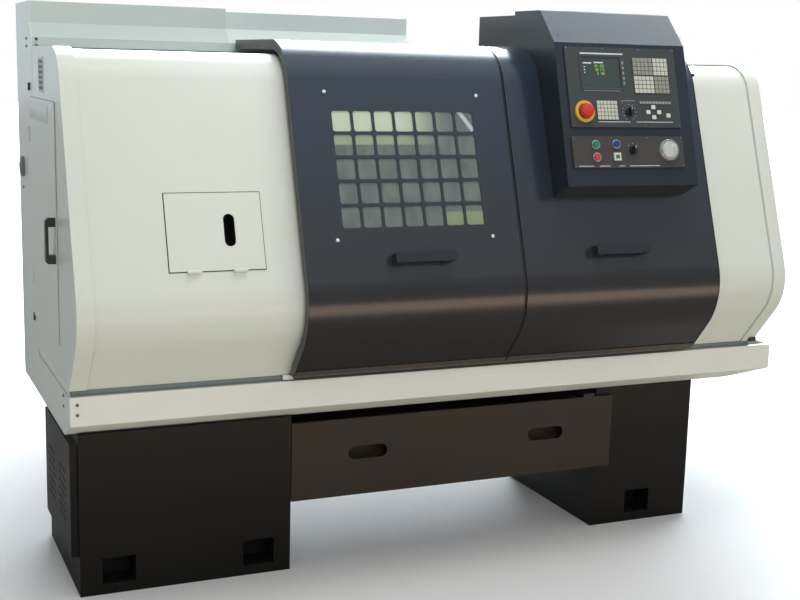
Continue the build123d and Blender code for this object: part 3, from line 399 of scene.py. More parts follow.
# Materials
class Nodes:
    """A small helper that wires the nodes of a material or of the world."""

    def __init__(self, name):
        self.material = bpy.data.materials.new(name)
        self.material.use_nodes = True
        self.tree = self.material.node_tree
        self.shader = self.tree.nodes["Principled BSDF"]
        self.place = self.add("ShaderNodeTexCoord").outputs["Object"]

    @classmethod
    def of_tree(cls, tree):
        nodes = cls.__new__(cls)
        nodes.tree = tree
        return nodes

    def add(self, kind, **values):
        node = self.tree.nodes.new(kind)
        for key, value in values.items():
            setattr(node, key, value)
        return node

    def link(self, source, target):
        self.tree.links.new(source, target)

    def noise(self, scale, detail=3.0, roughness=0.5, stretch=None):
        node = self.add("ShaderNodeTexNoise")
        node.inputs["Scale"].default_value = scale
        node.inputs["Detail"].default_value = detail
        node.inputs["Roughness"].default_value = roughness
        source = self.place
        if stretch:
            mapping = self.add("ShaderNodeMapping")
            mapping.inputs["Scale"].default_value = stretch
            self.link(source, mapping.inputs["Vector"])
            source = mapping.outputs["Vector"]
        self.link(source, node.inputs["Vector"])
        return node.outputs["Fac"]

    def ramp(self, source, stops):
        node = self.add("ShaderNodeValToRGB")
        elements = node.color_ramp.elements
        while len(elements) < len(stops):
            elements.new(0.5)
        for element, (position, color) in zip(elements, stops):
            element.position = position
            element.color = (*color, 1.0)
        self.link(source, node.inputs["Fac"])
        return node.outputs["Color"]

    def math(self, operation, first, second=0.0):
        node = self.add("ShaderNodeMath", operation=operation)
        for socket, value in zip(node.inputs, (first, second)):
            if isinstance(value, (int, float)):
                socket.default_value = value
            else:
                self.link(value, socket)
        return node.outputs["Value"]

    def span(self, source, start, end, low=0.0, high=1.0):
        """Smooth step of a value between two limits."""
        node = self.add("ShaderNodeMapRange", interpolation_type="SMOOTHSTEP")
        for socket, value in zip(("From Min", "From Max", "To Min", "To Max"), (start, end, low, high)):
            node.inputs[socket].default_value = value
        self.link(source, node.inputs["Value"])
        return node.outputs["Result"]

    def blend(self, factor, first, second):
        node = self.add("ShaderNodeMix", data_type="RGBA")
        self.link(factor, node.inputs["Factor"])
        for socket, value in zip((node.inputs[6], node.inputs[7]), (first, second)):
            if isinstance(value, tuple):
                socket.default_value = (*value, 1.0)
            else:
                self.link(value, socket)
        return node.outputs[2]

    def mix_value(self, factor, first, second):
        node = self.add("ShaderNodeMix", data_type="FLOAT")
        for socket, value in zip(node.inputs[0:1] + node.inputs[2:4], (factor, first, second)):
            if isinstance(value, float):
                socket.default_value = value
            else:
                self.link(value, socket)
        return node.outputs[0]

    def axes(self, space="Object"):
        source = self.add("ShaderNodeTexCoord").outputs[space]
        node = self.add("ShaderNodeSeparateXYZ")
        self.link(source, node.inputs[0])
        return node.outputs

    def left_sides(self):
        """1 on faces that look to the machine's left, 0 elsewhere."""
        node = self.add("ShaderNodeSeparateXYZ")
        self.link(self.add("ShaderNodeNewGeometry").outputs["Normal"], node.inputs[0])
        return self.span(node.outputs[0], *LEFT_TURN)

    def spread(self, source, low, high):
        """A value between 0 and 1, moved to between low and high."""
        node = self.add("ShaderNodeMapRange")
        node.inputs["To Min"].default_value = low
        node.inputs["To Max"].default_value = high
        self.link(source, node.inputs["Value"])
        return node.outputs["Result"]

    def finish_surface(self, height, distance, edge=0.0):
        """Small relief from a texture, over edges that the shading rounds where a radius is given."""
        bump = self.add("ShaderNodeBump")
        bump.inputs["Strength"].default_value = 1.0
        bump.inputs["Distance"].default_value = distance
        self.link(height, bump.inputs["Height"])
        if edge:
            rounded = self.add("ShaderNodeBevel", samples=4)
            rounded.inputs["Radius"].default_value = edge
            self.link(rounded.outputs["Normal"], bump.inputs["Normal"])
        self.link(bump.outputs["Normal"], self.shader.inputs["Normal"])
        return self.material


def tint(color, factor):
    return tuple(min(1.0, channel * factor) for channel in color)


def sprayed(nodes, tone, roughness, peel=ENAMEL_PEEL):
    """Finish of every enamel: its colour, mottled gloss, orange peel and the gloss of its clear coat."""
    nodes.link(tone, nodes.shader.inputs["Base Color"])
    nodes.link(nodes.spread(nodes.noise(MOTTLE_SCALE, 4.0), *roughness), nodes.shader.inputs["Roughness"])
    nodes.shader.inputs["Coat Roughness"].default_value = COAT_ROUGHNESS
    return nodes.finish_surface(nodes.noise(PEEL_SCALE, 2.0), peel, ENAMEL_EDGE)


def cloudy(nodes, color, variation):
    cloud = nodes.noise(CLOUD_SCALE, 4.0, 0.55)
    return nodes.ramp(cloud, ((0.3, tint(color, 1 - variation)), (0.7, tint(color, 1 + variation))))


def enamel(name, color, roughness, coat, variation, peel=ENAMEL_PEEL):
    """Sprayed machine enamel with faint cloudiness."""
    nodes = Nodes(name)
    nodes.shader.inputs["Coat Weight"].default_value = coat
    return sprayed(nodes, cloudy(nodes, color, variation), (roughness * 0.8, roughness * 1.25), peel)


def door_enamel(name, upper, lower, left_edge_shade):
    """Dark gloss enamel, dull and painted darker, as shade, on the edge that faces left.

    Its tone is painted from bluish above to brownish at the belly, in place of the hall's reflections.
    """
    nodes = Nodes(name)
    cloud = nodes.spread(nodes.noise(CLOUD_SCALE, 4.0, 0.55), *DOOR_CLOUD)
    height = nodes.math("ADD", nodes.axes()[2], cloud)
    edge = nodes.left_sides()
    nodes.link(nodes.mix_value(edge, DOOR_COAT, 0.0), nodes.shader.inputs["Coat Weight"])
    # The edge that faces left is painted darker, as shade
    tone = nodes.blend(edge, nodes.blend(nodes.span(height, *DOOR_TONE_Z), lower, upper), left_edge_shade)
    return sprayed(nodes, tone, DOOR_ROUGHNESS)


def side_enamel(name, color, side_color):
    """White enamel, painted cooler on the end cover's left face, in place of the hall's cooler light."""
    nodes = Nodes(name)
    nodes.shader.inputs["Coat Weight"].default_value = SIDE_COAT
    tone = nodes.blend(nodes.left_sides(), cloudy(nodes, color, SIDE_CLOUD), side_color)
    return sprayed(nodes, tone, SIDE_ROUGHNESS)


def machined(name, color, roughness=0.28, metallic=1.0):
    """Turned or ground metal with fine tool marks."""
    nodes = Nodes(name)
    grain = nodes.noise(TOOL_MARK_SCALE, 4.0, 0.6)
    tone = nodes.ramp(grain, ((0.3, tint(color, 0.86)), (0.7, tint(color, 1.1))))
    nodes.link(tone, nodes.shader.inputs["Base Color"])
    nodes.link(nodes.spread(grain, roughness * 0.75, roughness * 1.35), nodes.shader.inputs["Roughness"])
    nodes.shader.inputs["Metallic"].default_value = metallic
    return nodes.finish_surface(grain, METAL_GRAIN, METAL_EDGE)


def moulded(name, color, roughness, grain, coat=0.0):
    """Moulded plastic with a fine spark-eroded texture."""
    nodes = Nodes(name)
    fine = nodes.noise(SPARK_SCALE, 3.0, 0.6)
    tone = nodes.ramp(fine, ((0.35, tint(color, 0.92)), (0.65, tint(color, 1.08))))
    nodes.link(tone, nodes.shader.inputs["Base Color"])
    nodes.link(nodes.spread(fine, roughness * 0.85, roughness * 1.2), nodes.shader.inputs["Roughness"])
    nodes.shader.inputs["Coat Weight"].default_value = coat
    return nodes.finish_surface(fine, grain, PLASTIC_EDGE)


def glowing(name, color, strength):
    nodes = Nodes(name)
    nodes.shader.inputs["Base Color"].default_value = (*tint(color, 0.5), 1.0)
    nodes.shader.inputs["Roughness"].default_value = 0.4
    nodes.shader.inputs["Emission Color"].default_value = (*color, 1.0)
    nodes.shader.inputs["Emission Strength"].default_value = strength
    return nodes.material


def pane_glass():
    """Laminated pane, misted green-grey by coolant.

    The chamber's wall and tray behind it are painted in at fixed places, the wall as a painted shadow and a
    painted lit band, and so is one slanted glint, a painted reflection.
    """
    nodes = Nodes("misted_pane")
    x, _, z = nodes.axes()
    spots = nodes.noise(160.0, 5.0, 0.7)
    mist = nodes.ramp(nodes.noise(26.0, 6.0, 0.6, (1.0, 1.0, 0.35)), MIST_GREY)
    left = nodes.math("SUBTRACT", 1.0, nodes.span(x, *WALL_END_X))
    shadow = nodes.math("MULTIPLY", left, nodes.span(z, *WALL_SHADOW_Z))
    wall = nodes.math("MULTIPLY", left, nodes.span(z, *WALL_LIT_Z))
    tray = nodes.math("MULTIPLY", nodes.span(x, *TRAY_SEEN_X), nodes.span(z, *TRAY_SEEN_Z))
    slant = nodes.math("ADD", x, nodes.math("MULTIPLY", z, GLINT_LEAN))
    stripe = nodes.math("MULTIPLY", nodes.span(slant, *GLINT_START), nodes.span(slant, *GLINT_END))
    cell = nodes.math("MULTIPLY", nodes.span(x, *GLINT_CELL_X), nodes.span(z, *GLINT_CELL_Z))
    color = nodes.blend(shadow, mist, WALL_SHADOW)
    color = nodes.blend(wall, color, WALL_LIT)
    color = nodes.blend(tray, color, TRAY_SEEN)
    color = nodes.blend(nodes.math("MULTIPLY", stripe, cell), color, GLINT_WHITE)
    nodes.link(color, nodes.shader.inputs["Base Color"])
    nodes.link(nodes.spread(spots, 0.2, 0.3), nodes.shader.inputs["Roughness"])
    nodes.shader.inputs["Transmission Weight"].default_value = 0.25
    nodes.shader.inputs["Coat Weight"].default_value = 0.4
    return nodes.finish_surface(spots, 0.00001)


def screen_glass():
    nodes = Nodes("screen_glass")
    nodes.shader.inputs["Base Color"].default_value = (0.035, 0.05, 0.045, 1.0)
    nodes.link(nodes.spread(nodes.noise(60.0, 3.0), 0.12, 0.2), nodes.shader.inputs["Roughness"])
    nodes.shader.inputs["Coat Weight"].default_value = 0.5
    return nodes.material


# Enamels have a colour, roughness, clear coat, cloudiness and orange peel, metals a colour, roughness and
# share of metal, plastics a colour, roughness, depth of grain and clear coat
WHITE = enamel("white_enamel", (0.70, 0.725, 0.665), 0.34, 0.3, 0.025)
GREY = enamel("grey_enamel", (0.52, 0.6, 0.575), 0.38, 0.25, 0.035)
TRAY = enamel("tray_enamel", (0.78, 0.79, 0.745), 0.42, 0.15, 0.05)
SLATE = door_enamel("slate_enamel", (0.0195, 0.0285, 0.046), (0.026, 0.025, 0.0265), (0.008, 0.009, 0.009))
BOX_SLATE = enamel("box_enamel", (0.0165, 0.022, 0.031), 0.3, 0.15, 0.1)
SIDE_WHITE = side_enamel("side_enamel", (0.70, 0.725, 0.665), (0.66, 0.73, 0.72))
HANDLE = moulded("handle_nylon", (0.015, 0.018, 0.023), 0.3, 0.00002, 0.4)
# Lighter brown of the door hems and the box's lower edge, a painted highlight
HEM_HIGHLIGHT = enamel("door_hem", (0.085, 0.07, 0.058), 0.35, 0.2, 0.08)
BLACK = enamel("pedestal_black", (0.0062, 0.0056, 0.0048), 0.46, 0.03, 0.12, 0.00004)
BROWN = enamel("drawer_enamel", (0.032, 0.024, 0.017), 0.45, 0.1, 0.12, 0.00004)
MOTOR = enamel("motor_enamel", (0.06, 0.075, 0.09), 0.4, 0.2, 0.1)
IRON = enamel("iron_paint", (0.16, 0.19, 0.18), 0.45, 0.1, 0.12, 0.00005)
PALE_GREY = enamel("pale_grey_enamel", (0.6, 0.69, 0.665), 0.38, 0.25, 0.035)
# Dark blue-grey of the lower rail: partly its own paint, partly painted shade of its recess
RAIL_GREY_AND_SHADE = enamel("rail_enamel_and_shade", (0.2, 0.255, 0.26), 0.4, 0.15, 0.05)
VENT_DARK = enamel("vent_shadow", (0.2, 0.22, 0.22), 0.6, 0.0, 0.05)
STEEL = machined("turned_steel", (0.55, 0.56, 0.57))
SILVER = machined("spun_silver", (0.8, 0.8, 0.77), 0.3, 0.6)
CHROME = machined("chrome", (0.72, 0.73, 0.74), 0.09)
SCREW_STEEL = machined("screw_steel", (0.22, 0.22, 0.23), 0.35)
BELT = moulded("belt_rubber", (0.014, 0.014, 0.014), 0.6, 0.00005)
NYLON = moulded("black_nylon", (0.012, 0.012, 0.014), 0.28, 0.00002, 0.3)
OVERLAY = moulded("panel_overlay", (0.045, 0.05, 0.052), 0.42, 0.00002, 0.1)
OVERLAY_LOW = moulded("lower_overlay", (0.05, 0.047, 0.044), 0.42, 0.00002, 0.1)
RED = moulded("red_plastic", (0.58, 0.03, 0.018), 0.25, 0.00001, 0.5)
GREEN = moulded("green_plastic", (0.0, 0.2, 0.1), 0.25, 0.00001, 0.5)
BLUE = moulded("blue_plastic", (0.015, 0.035, 0.22), 0.25, 0.00001, 0.5)
YELLOW = moulded("yellow_plastic", (0.72, 0.38, 0.03), 0.35, 0.00001, 0.3)
IVORY = moulded("ivory_plastic", (0.62, 0.61, 0.54), 0.3, 0.00001, 0.4)
KEY_WHITE = moulded("key_white", (0.5, 0.5, 0.44), 0.45, 0.00001)
KEY_GREY = moulded("key_grey", (0.26, 0.26, 0.23), 0.45, 0.00001)
PRINT = moulded("white_print", (0.62, 0.64, 0.66), 0.5, 0.00001)
PLATE = moulded("blank_plate", (0.74, 0.75, 0.72), 0.4, 0.00001, 0.2)
DIGITS = glowing("green_digits", (0.25, 0.55, 0.04), 0.55)
PANE = pane_glass()
SCREEN = screen_glass()

MATERIAL_OF_NODE = {
    BLACK: ("left_pedestal", "right_pedestal", "vent_cover"),
    TRAY: ("chip_tray",),
    RAIL_GREY_AND_SHADE: ("lower_rail",),
    BROWN: ("coolant_drawer",),
    IRON: ("bed", "headstock", "carriage", "cross_slide", "turret_base", "tailstock"),
    STEEL: (
        "spindle", "chuck", "chuck_jaw_1", "chuck_jaw_2", "chuck_jaw_3", "spindle_pulley", "motor_pulley",
        "lead_screw", "turret_head", "cutting_tools", "tailstock_quill", "live_centre",
    ),
    CHROME: ("tailstock_handwheel", "clamp_lever"),
    BELT: ("drive_belt",),
    MOTOR: ("main_motor", "feed_motor", "cross_motor"),
    WHITE: (
        "left_casing", "access_flap", "right_casing", "right_end_cover", "electrical_cabinet", "cabinet_door",
        "splash_back",
    ),
    SIDE_WHITE: ("left_end_cover", "end_door"),
    GREY: ("top_rail", "rear_cover_tall"),
    PALE_GREY: ("rear_cover_low",),
    SLATE: ("left_door", "right_door"),
    BOX_SLATE: ("control_box",),
    PANE: ("window_glass",),
    SCREEN: ("screen",),
    HANDLE: ("left_door_handle", "right_door_handle"),
    NYLON: ("end_door_handle", "mode_knob", "feed_knob"),
    OVERLAY: ("upper_panel",),
    OVERLAY_LOW: ("lower_panel",),
    RED: ("emergency_stop", "red_button"),
    GREEN: ("green_button",),
    BLUE: ("blue_button",),
    IVORY: ("lamp_button",),
    SILVER: ("hand_dial",),
}


def dress_nodes():
    for material, names in MATERIAL_OF_NODE.items():
        for name in names:
            slots = NODES[name].data.materials
            slots.clear()
            slots.append(material)


# Fasteners and plugs
def turned(matrix, profile, sides):
    """A solid of round rings, given as (radius, height) pairs from the bottom up."""
    return stack(matrix, [(round_outline(radius, sides), height) for radius, height in profile])


def socket_screw(matrix, radius, height):
    """A cap screw with a round recess in its head."""
    socket = radius * 0.5
    profile = (
        (radius, 0), (radius, height * 0.8), (radius * 0.88, height),
        (socket, height), (socket * 0.9, height * 0.35),
    )
    return turned(matrix, profile, sides=24)


def pan_screw(matrix, radius, height, rim=0.3):
    """A low domed screw head over a short straight rim."""
    profile = [(radius, 0)]
    for share in (0.0, 0.3, 0.6, 0.85):
        angle = share * math.pi / 2
        profile.append((radius * math.cos(angle), rim + (height - rim) * math.sin(angle)))
    return turned(matrix, profile, sides=20)


def plug_cap(matrix):
    """Domed cover plug over a cable hole."""
    return turned(matrix, ((33, 0), (33, 3), (31.5, 7), (27, 10), (18, 12), (6, 12.8)), sides=36)


# Left end
def end_vent():
    y, z = END_VENT
    width, height = END_VENT_SIZE
    middle = facing_left(0, y, z)
    border = frame_ring(middle, width, height, border=5, depth=1.8, corner=6, bevel=0.6)
    piece("end_vent_frame", "machine_frame", WHITE, [border])
    blades = []
    for k in range(VENT_BLADES):
        level = z + (k - VENT_BLADES // 2) * VENT_BLADE_PITCH
        blades.append(slab(facing_left(0, y, level), width - 10, 4, depth=1.0, corner=0.5, bevel=0.4))
    piece("end_vent_blades", "machine_frame", GREY, blades)
    # Dark plate behind the blades, painted shade of the vent's inside
    back = slab(middle, width - 6, height - 6, depth=0.4, corner=4, bevel=0.1)
    piece("end_vent_back", "machine_frame", VENT_DARK, [back])


def left_end_details():
    spots = [facing_left(0, y, z) for y, z in RAIL_END_SCREWS + TRAY_END_SCREWS]
    spots += [facing_front(*spot) for spot in FRONT_CORNER_SCREWS]
    screws = [socket_screw(spot, radius=4.5, height=3.0) for spot in spots]
    piece("corner_screws", "machine_frame", SCREW_STEEL, screws)
    hinges = [
        slab(facing_left(0, END_HINGE_Y, z), 12, 24, depth=6, corner=1.5, bevel=1.0)
        for z in END_HINGES_Z
    ]
    piece("end_door_hinge_leaves", "machine_frame", NYLON, hinges)
    end_vent()
    piece("rear_plug", "machine_frame", IRON, [plug_cap(facing_left(0, *REAR_PLUG))])
    screw = socket_screw(facing_left(0, *REAR_SCREW), radius=5, height=3)
    piece("rear_screw", "machine_frame", SCREW_STEEL, [screw])
    middle = facing_left(0, *END_DOOR_CENTRE)
    seam = frame_ring(middle, *END_DOOR_SEAM_SIZE, border=2.2, depth=0.35, corner=1.0, bevel=0.1)
    piece("end_door_seam", "machine_frame", NYLON, [seam])
    skirt = slab(facing_left(0, *SKIRT), *SKIRT_SIZE, depth=1.2, corner=1.0, bevel=0.5)
    piece("end_skirt", "machine_frame", SIDE_WHITE, [skirt])
    plate = slab(facing_left(END_DOOR_FACE_X, *END_PLATE), *END_PLATE_SIZE, depth=1.2, corner=2, bevel=0.5)
    piece("end_door_plate", "end_door", GREY, [plate])


# Doors and casings
def door_path(offset):
    """Points (Y, Z) over the rounded top, down the leaning front, round the knee and down the belly.

    They run outside the casing by the offset.
    """
    front = FRONT_Y - FRONT_SLOPE * FRONT_Z - offset / math.cos(FRONT_LEAN)
    belly = BELLY_Y + BELLY_SLOPE * BELLY_Z - offset / math.cos(BELLY_LEAN)
    knee_z = (belly - front) / (FRONT_SLOPE + BELLY_SLOPE)
    knee_y = front + FRONT_SLOPE * knee_z
    radius = BELLY_RADIUS + offset
    turn = FRONT_LEAN + BELLY_LEAN
    reach = radius * math.tan(turn / 2)
    first_y, first_z = knee_y + reach * math.sin(FRONT_LEAN), knee_z + reach * math.cos(FRONT_LEAN)
    middle_y = first_y + radius * math.cos(FRONT_LEAN)
    middle_z = first_z - radius * math.sin(FRONT_LEAN)
    crown = TOP_RADIUS + offset
    crown_z = CASING_TOP + offset - crown
    crown_y = front + FRONT_SLOPE * (crown_z + crown * math.sin(FRONT_LEAN)) + crown * math.cos(FRONT_LEAN)
    points = []
    for k in range(CROWN_STEPS + 1):
        angle = math.pi / 2 - (math.pi / 2 - FRONT_LEAN) * k / CROWN_STEPS
        points.append((crown_y - crown * math.cos(angle), crown_z + crown * math.sin(angle)))
    points += [(front + FRONT_SLOPE * z, z) for z in FRONT_POINTS_Z]
    for k in range(KNEE_STEPS + 1):
        angle = FRONT_LEAN - turn * k / KNEE_STEPS
        points.append((middle_y - radius * math.cos(angle), middle_z + radius * math.sin(angle)))
    points += [(belly - BELLY_SLOPE * z, z) for z in BELLY_POINTS_Z]
    return points


def ribbon(x0, x1, inner, outer):
    """A strip that follows the doors' front, as rings of four corners."""
    rings = []
    for (yi, zi), (yo, zo) in zip(door_path(inner), door_path(outer)):
        rings.append([place(x0, yi, zi), place(x0, yo, zo), place(x1, yo, zo), place(x1, yi, zi)])
    return rings, False


def foot_hem(x0, x1):
    """The folded lower edge of a door's belly."""
    lower, upper = HEM_Z
    inner, outer = HEM_LIFT
    rings = []
    for x in (x0, x1):
        corners = []
        for z, offset in ((lower, inner), (lower, outer), (upper, outer), (upper, inner)):
            y = BELLY_Y - BELLY_SLOPE * (z - BELLY_Z) - (DOOR_STANDOFF + offset) / math.cos(BELLY_LEAN)
            corners.append(place(x, y, z))
        rings.append(corners)
    return rings, False


def casing_details():
    seam = ribbon(*CAP_SEAM_X, *CAP_SEAM_DEPTH)
    piece("right_cap_seam", "machine_frame", GREY, [seam])
    foot = slab(facing_front(*RIGHT_FOOT), 26, 14, depth=14, corner=2, bevel=1)
    piece("right_foot_block", "machine_frame", NYLON, [foot])
    # A thin dark ring round the flap, a painted shadow in the gap around it
    seam = frame_ring(on_front(*FLAP_CENTRE), *FLAP_GAP_SHADOW_SIZE, border=3.0, depth=0.35, corner=1.0, bevel=0.1)
    piece("flap_gap_shadow", "machine_frame", NYLON, [seam])
    block = slab(facing_front(*TRAY_BLOCK), 32, 14, depth=12, corner=1.5, bevel=1)
    piece("tray_block", "machine_frame", PLATE, [block])


def door_details():
    for side, seal_x, hem_x in (("left", LEFT_SEAL_X, LEFT_HEM_X), ("right", RIGHT_SEAL_X, RIGHT_HEM_X)):
        door = side + "_door"
        piece(door + "_seal", door, BELT, [ribbon(*seal_x, *SEAL_DEPTH)])
        # The hem is a real fold; its lighter brown is a painted highlight along it
        piece(door + "_hem", door, HEM_HIGHLIGHT, [foot_hem(*hem_x)])
    stop = disc(facing_right(*DOOR_STOP), radius=6, depth=12, bevel=1.5, sides=24)
    piece("door_stop", "right_door", NYLON, [stop])
    # A thin strip along the control box's lower edge, a painted highlight of that edge
    middle = facing_front((BOX_LEFT + BOX_RIGHT) / 2, *BOX_EDGE_HIGHLIGHT)
    edge = slab(middle, BOX_RIGHT - BOX_LEFT - 4, 3.5, depth=1.2, corner=0.5, bevel=0.3)
    piece("box_edge_highlight", "right_door", HEM_HIGHLIGHT, [edge])
    screws = [pan_screw(on_front(x, z, DOOR_STANDOFF), radius=5.5, height=2.5) for x, z in DOOR_SCREWS]
    piece("window_screws", "left_door", PLATE, screws)
    for name, door, x in HANDLES:
        caps = []
        for cap_x in (x - HANDLE_CAP_X, x + HANDLE_CAP_X):
            spot = on_front(cap_x, HANDLE_Z, DOOR_STANDOFF + HANDLE_PROUD)
            caps.append(disc(spot, radius=5, depth=1.2, bevel=0.5))
        piece(name, door, NYLON, caps)


# Operator panels
KEY_FIELDS = (
    ("letter_keys", KEY_GREY, (267, 44, 339, 99), 5, 4),
    ("number_keys", KEY_WHITE, (341, 44, 395, 99), 4, 4),
    ("edit_keys", KEY_WHITE, (267, 102, 339, 156), 5, 4),
    ("cursor_keys", KEY_GREY, (341, 102, 395, 156), 4, 4),
    ("axis_keys", KEY_WHITE, (123, 181, 197, 241), 6, 5),
    ("mode_keys", KEY_GREY, (278, 181, 394, 191), 10, 1),
)

SEGMENTS = {
    "0": "abcdef", "1": "bc", "2": "abged", "3": "abgcd", "4": "fgbc", "5": "afgcd", "6": "afgedc",
    "8": "abcdefg",
}


def key_grid(corners, columns, rows):
    left, top, right, bottom = corners
    wide = (right - left) / columns
    tall = (bottom - top) / rows
    keys = []
    for column in range(columns):
        for row in range(rows):
            middle = on_panel(left + (column + 0.5) * wide, top + (row + 0.5) * tall, KEY_RISE - SINK)
            keys.append(slab(middle, wide - KEY_GAP, tall - KEY_GAP, depth=1.2, corner=1.2, bevel=0.5))
    return keys


def bar(corners, lift=PANEL_THICK):
    """A printed bar, given by its left, top, right and bottom edges."""
    left, top, right, bottom = corners
    middle = on_panel((left + right) / 2, (top + bottom) / 2, lift - PRINT_SINK)
    return slab(middle, right - left, bottom - top, depth=0.4, corner=0.4, bevel=0.15)


def digit_shapes(left, down, figures, height):
    """Plain seven-segment numbers on the display."""
    wide = height * 0.5
    thick = height * 0.14
    flat, upright = (wide, thick), (thick, height / 2)
    centres = {
        "a": (wide / 2, 0, flat), "g": (wide / 2, height / 2, flat), "d": (wide / 2, height, flat),
        "f": (0, height / 4, upright), "b": (wide, height / 4, upright), "e": (0, 3 * height / 4, upright),
        "c": (wide, 3 * height / 4, upright),
    }
    shapes = []
    for k, figure in enumerate(figures):
        for segment in SEGMENTS.get(figure, ""):
            dx, dy, size = centres[segment]
            spot = on_panel(left + k * height * 0.72 + dx, down + dy, SCREEN_LIFT)
            shapes.append(slab(spot, *size, depth=0.15, corner=0.1, bevel=0.05))
    return shapes


def display_details():
    digits = []
    for row, figures in enumerate(DISPLAY_ROWS):
        digits += digit_shapes(DIGITS_LEFT, DIGITS_DOWN + row * DIGIT_ROW, figures, DIGIT_HEIGHT)
    piece("screen_digits", "right_door", DIGITS, digits)
    bars = [bar(corners, SCREEN_LIFT) for corners in SCREEN_BARS] + [bar(corners) for corners in PANEL_BARS]
    piece("panel_print", "right_door", PRINT, bars)
    middle = on_panel(*DISPLAY, PANEL_THICK - SINK)
    bezel = frame_ring(middle, *BEZEL_SIZE, border=8, depth=2.4, corner=4, bevel=0.8)
    piece("screen_bezel", "right_door", OVERLAY, [bezel])


def key_details():
    x, down = SOFT_KEYS
    soft_keys = []
    for k in range(SOFT_KEY_COUNT):
        spot = on_panel(x, down + k * SOFT_KEY_PITCH, PANEL_THICK - SINK)
        soft_keys.append(slab(spot, 10, 10, depth=1.4, corner=1.5, bevel=0.5))
    piece("soft_keys", "right_door", KEY_GREY, soft_keys)
    for name, material, corners, columns, rows in KEY_FIELDS:
        piece(name, "right_door", material, key_grid(corners, columns, rows))
    arrows = [
        slab(on_panel(*spot, KEY_RISE - SINK), 15, 13, depth=1.6, corner=3, bevel=0.6)
        for spot in ARROW_KEYS
    ]
    arrows.append(slab(on_panel(*RAPID_KEY, PANEL_THICK - SINK), 15, 13, depth=1.8, corner=3, bevel=0.6))
    piece("arrow_keys", "right_door", IVORY, arrows)


def stop_details():
    ring = washer(on_panel(*STOP, STOP_RING_LIFT), outer=33.6, inner=23, depth=5.9, bevel=1.2)
    piece("stop_ring", "right_door", YELLOW, [ring])
    profile = [(radius, height + STOP_CROWN_LIFT) for radius, height in STOP_CROWN]
    piece("stop_crown", "emergency_stop", RED, [turned(on_panel(*STOP), profile, sides=40)])


def scale_dots(centre, radius, first, step, count):
    """Printed dots round a switch, at angles in degrees clockwise from its top."""
    x, down = centre
    dots = []
    for k in range(count):
        angle = math.radians(first + k * step)
        across, up = radius * math.sin(angle), radius * math.cos(angle)
        spot = on_panel(x + across, down - up, PANEL_THICK - PRINT_SINK)
        dots.append(disc(spot, radius=1.3, depth=0.4, bevel=0.1, sides=10))
    return dots


def switch_details():
    dots = scale_dots(FEED_KNOB, 24, -150, 30, 11) + scale_dots(MODE_KNOB, 22, -45, 45, 3)
    piece("dial_marks", "right_door", PRINT, dots)
    for switch, (x, down) in (("feed", FEED_KNOB), ("mode", MODE_KNOB)):
        spot = on_panel(x, down - POINTER_UP, KNOB_TOP - PRINT_SINK)
        pointer = slab(spot, 2, 7, depth=0.4, corner=0.5, bevel=0.1)
        piece(switch + "_pointer", switch + "_knob", PRINT, [pointer])


def button_details():
    bezels = [
        washer(on_panel(*spot, PANEL_THICK + 2.9), outer=14.3, inner=10.6, depth=1.2, bevel=0.4)
        for spot in PUSH_BUTTONS
    ]
    piece("button_bezels", "right_door", CHROME, bezels)
    lens = slab(on_panel(*LAMP_LENS, PANEL_THICK + 5.9), 14, 12, depth=0.8, corner=1.5, bevel=0.3)
    piece("lamp_lens", "lamp_button", GREEN, [lens])
    screws = [pan_screw(on_panel(*spot, PANEL_THICK - SINK), radius=3.0, height=1.5) for spot in PANEL_SCREWS]
    piece("panel_screws", "right_door", SCREW_STEEL, screws)


def dial_details():
    """Bright ring and engraved marks of the pulse dial; every fifth mark is longer."""
    spot = on_panel(*PULSE_DIAL, PANEL_THICK + 9.2)
    ring = washer(spot, outer=33.2, inner=26, depth=1.4, bevel=0.6, sides=64)
    piece("dial_ring", "hand_dial", CHROME, [ring])
    centre = on_panel(*PULSE_DIAL, PANEL_THICK + 10.5)
    outward = Matrix.Translation((0, PULSE_MARK_RADIUS * MM, 0))
    ticks = []
    for k in range(PULSE_MARKS):
        spot = centre @ Matrix.Rotation(2 * math.pi * k / PULSE_MARKS, 4, "Z") @ outward
        ticks.append(slab(spot, 0.6, 3.2 if k % 5 else 5.0, depth=0.2, corner=0.1, bevel=0.05))
    piece("dial_ticks", "hand_dial", NYLON, ticks)


# Camera, room and lamps
def photo_camera():
    forward = Vector((
        math.sin(CAMERA_YAW) * math.cos(CAMERA_PITCH), math.cos(CAMERA_YAW) * math.cos(CAMERA_PITCH),
        -math.sin(CAMERA_PITCH),
    ))
    level = Vector((math.cos(CAMERA_YAW), -math.sin(CAMERA_YAW), 0))
    down = forward.cross(level)
    right = level * math.cos(CAMERA_ROLL) + down * math.sin(CAMERA_ROLL)
    lower = down * math.cos(CAMERA_ROLL) - level * math.sin(CAMERA_ROLL)
    data = bpy.data.cameras.new("photo_camera")
    data.lens = CAMERA_LENS
    data.sensor_width = SENSOR_WIDTH
    data.clip_end = CAMERA_REACH
    camera = bpy.data.objects.new("photo_camera", data)
    camera.matrix_world = basis(place(*CAMERA_PLACE), right, -lower, -forward)
    bpy.context.scene.collection.objects.link(camera)
    bpy.context.scene.camera = camera


def area_light(name, spot, aim, size, power, mirrored):
    """A rectangular lamp; polished faces show it only where it is mirrored."""
    data = bpy.data.lights.new(name, "AREA")
    data.shape = "RECTANGLE"
    data.size, data.size_y = size
    data.energy = power
    lamp = bpy.data.objects.new(name, data)
    lamp.location = spot
    lamp.visible_glossy = mirrored
    lamp.rotation_euler = (Vector(aim) - Vector(spot)).to_track_quat("-Z", "Y").to_euler()
    bpy.context.scene.collection.objects.link(lamp)


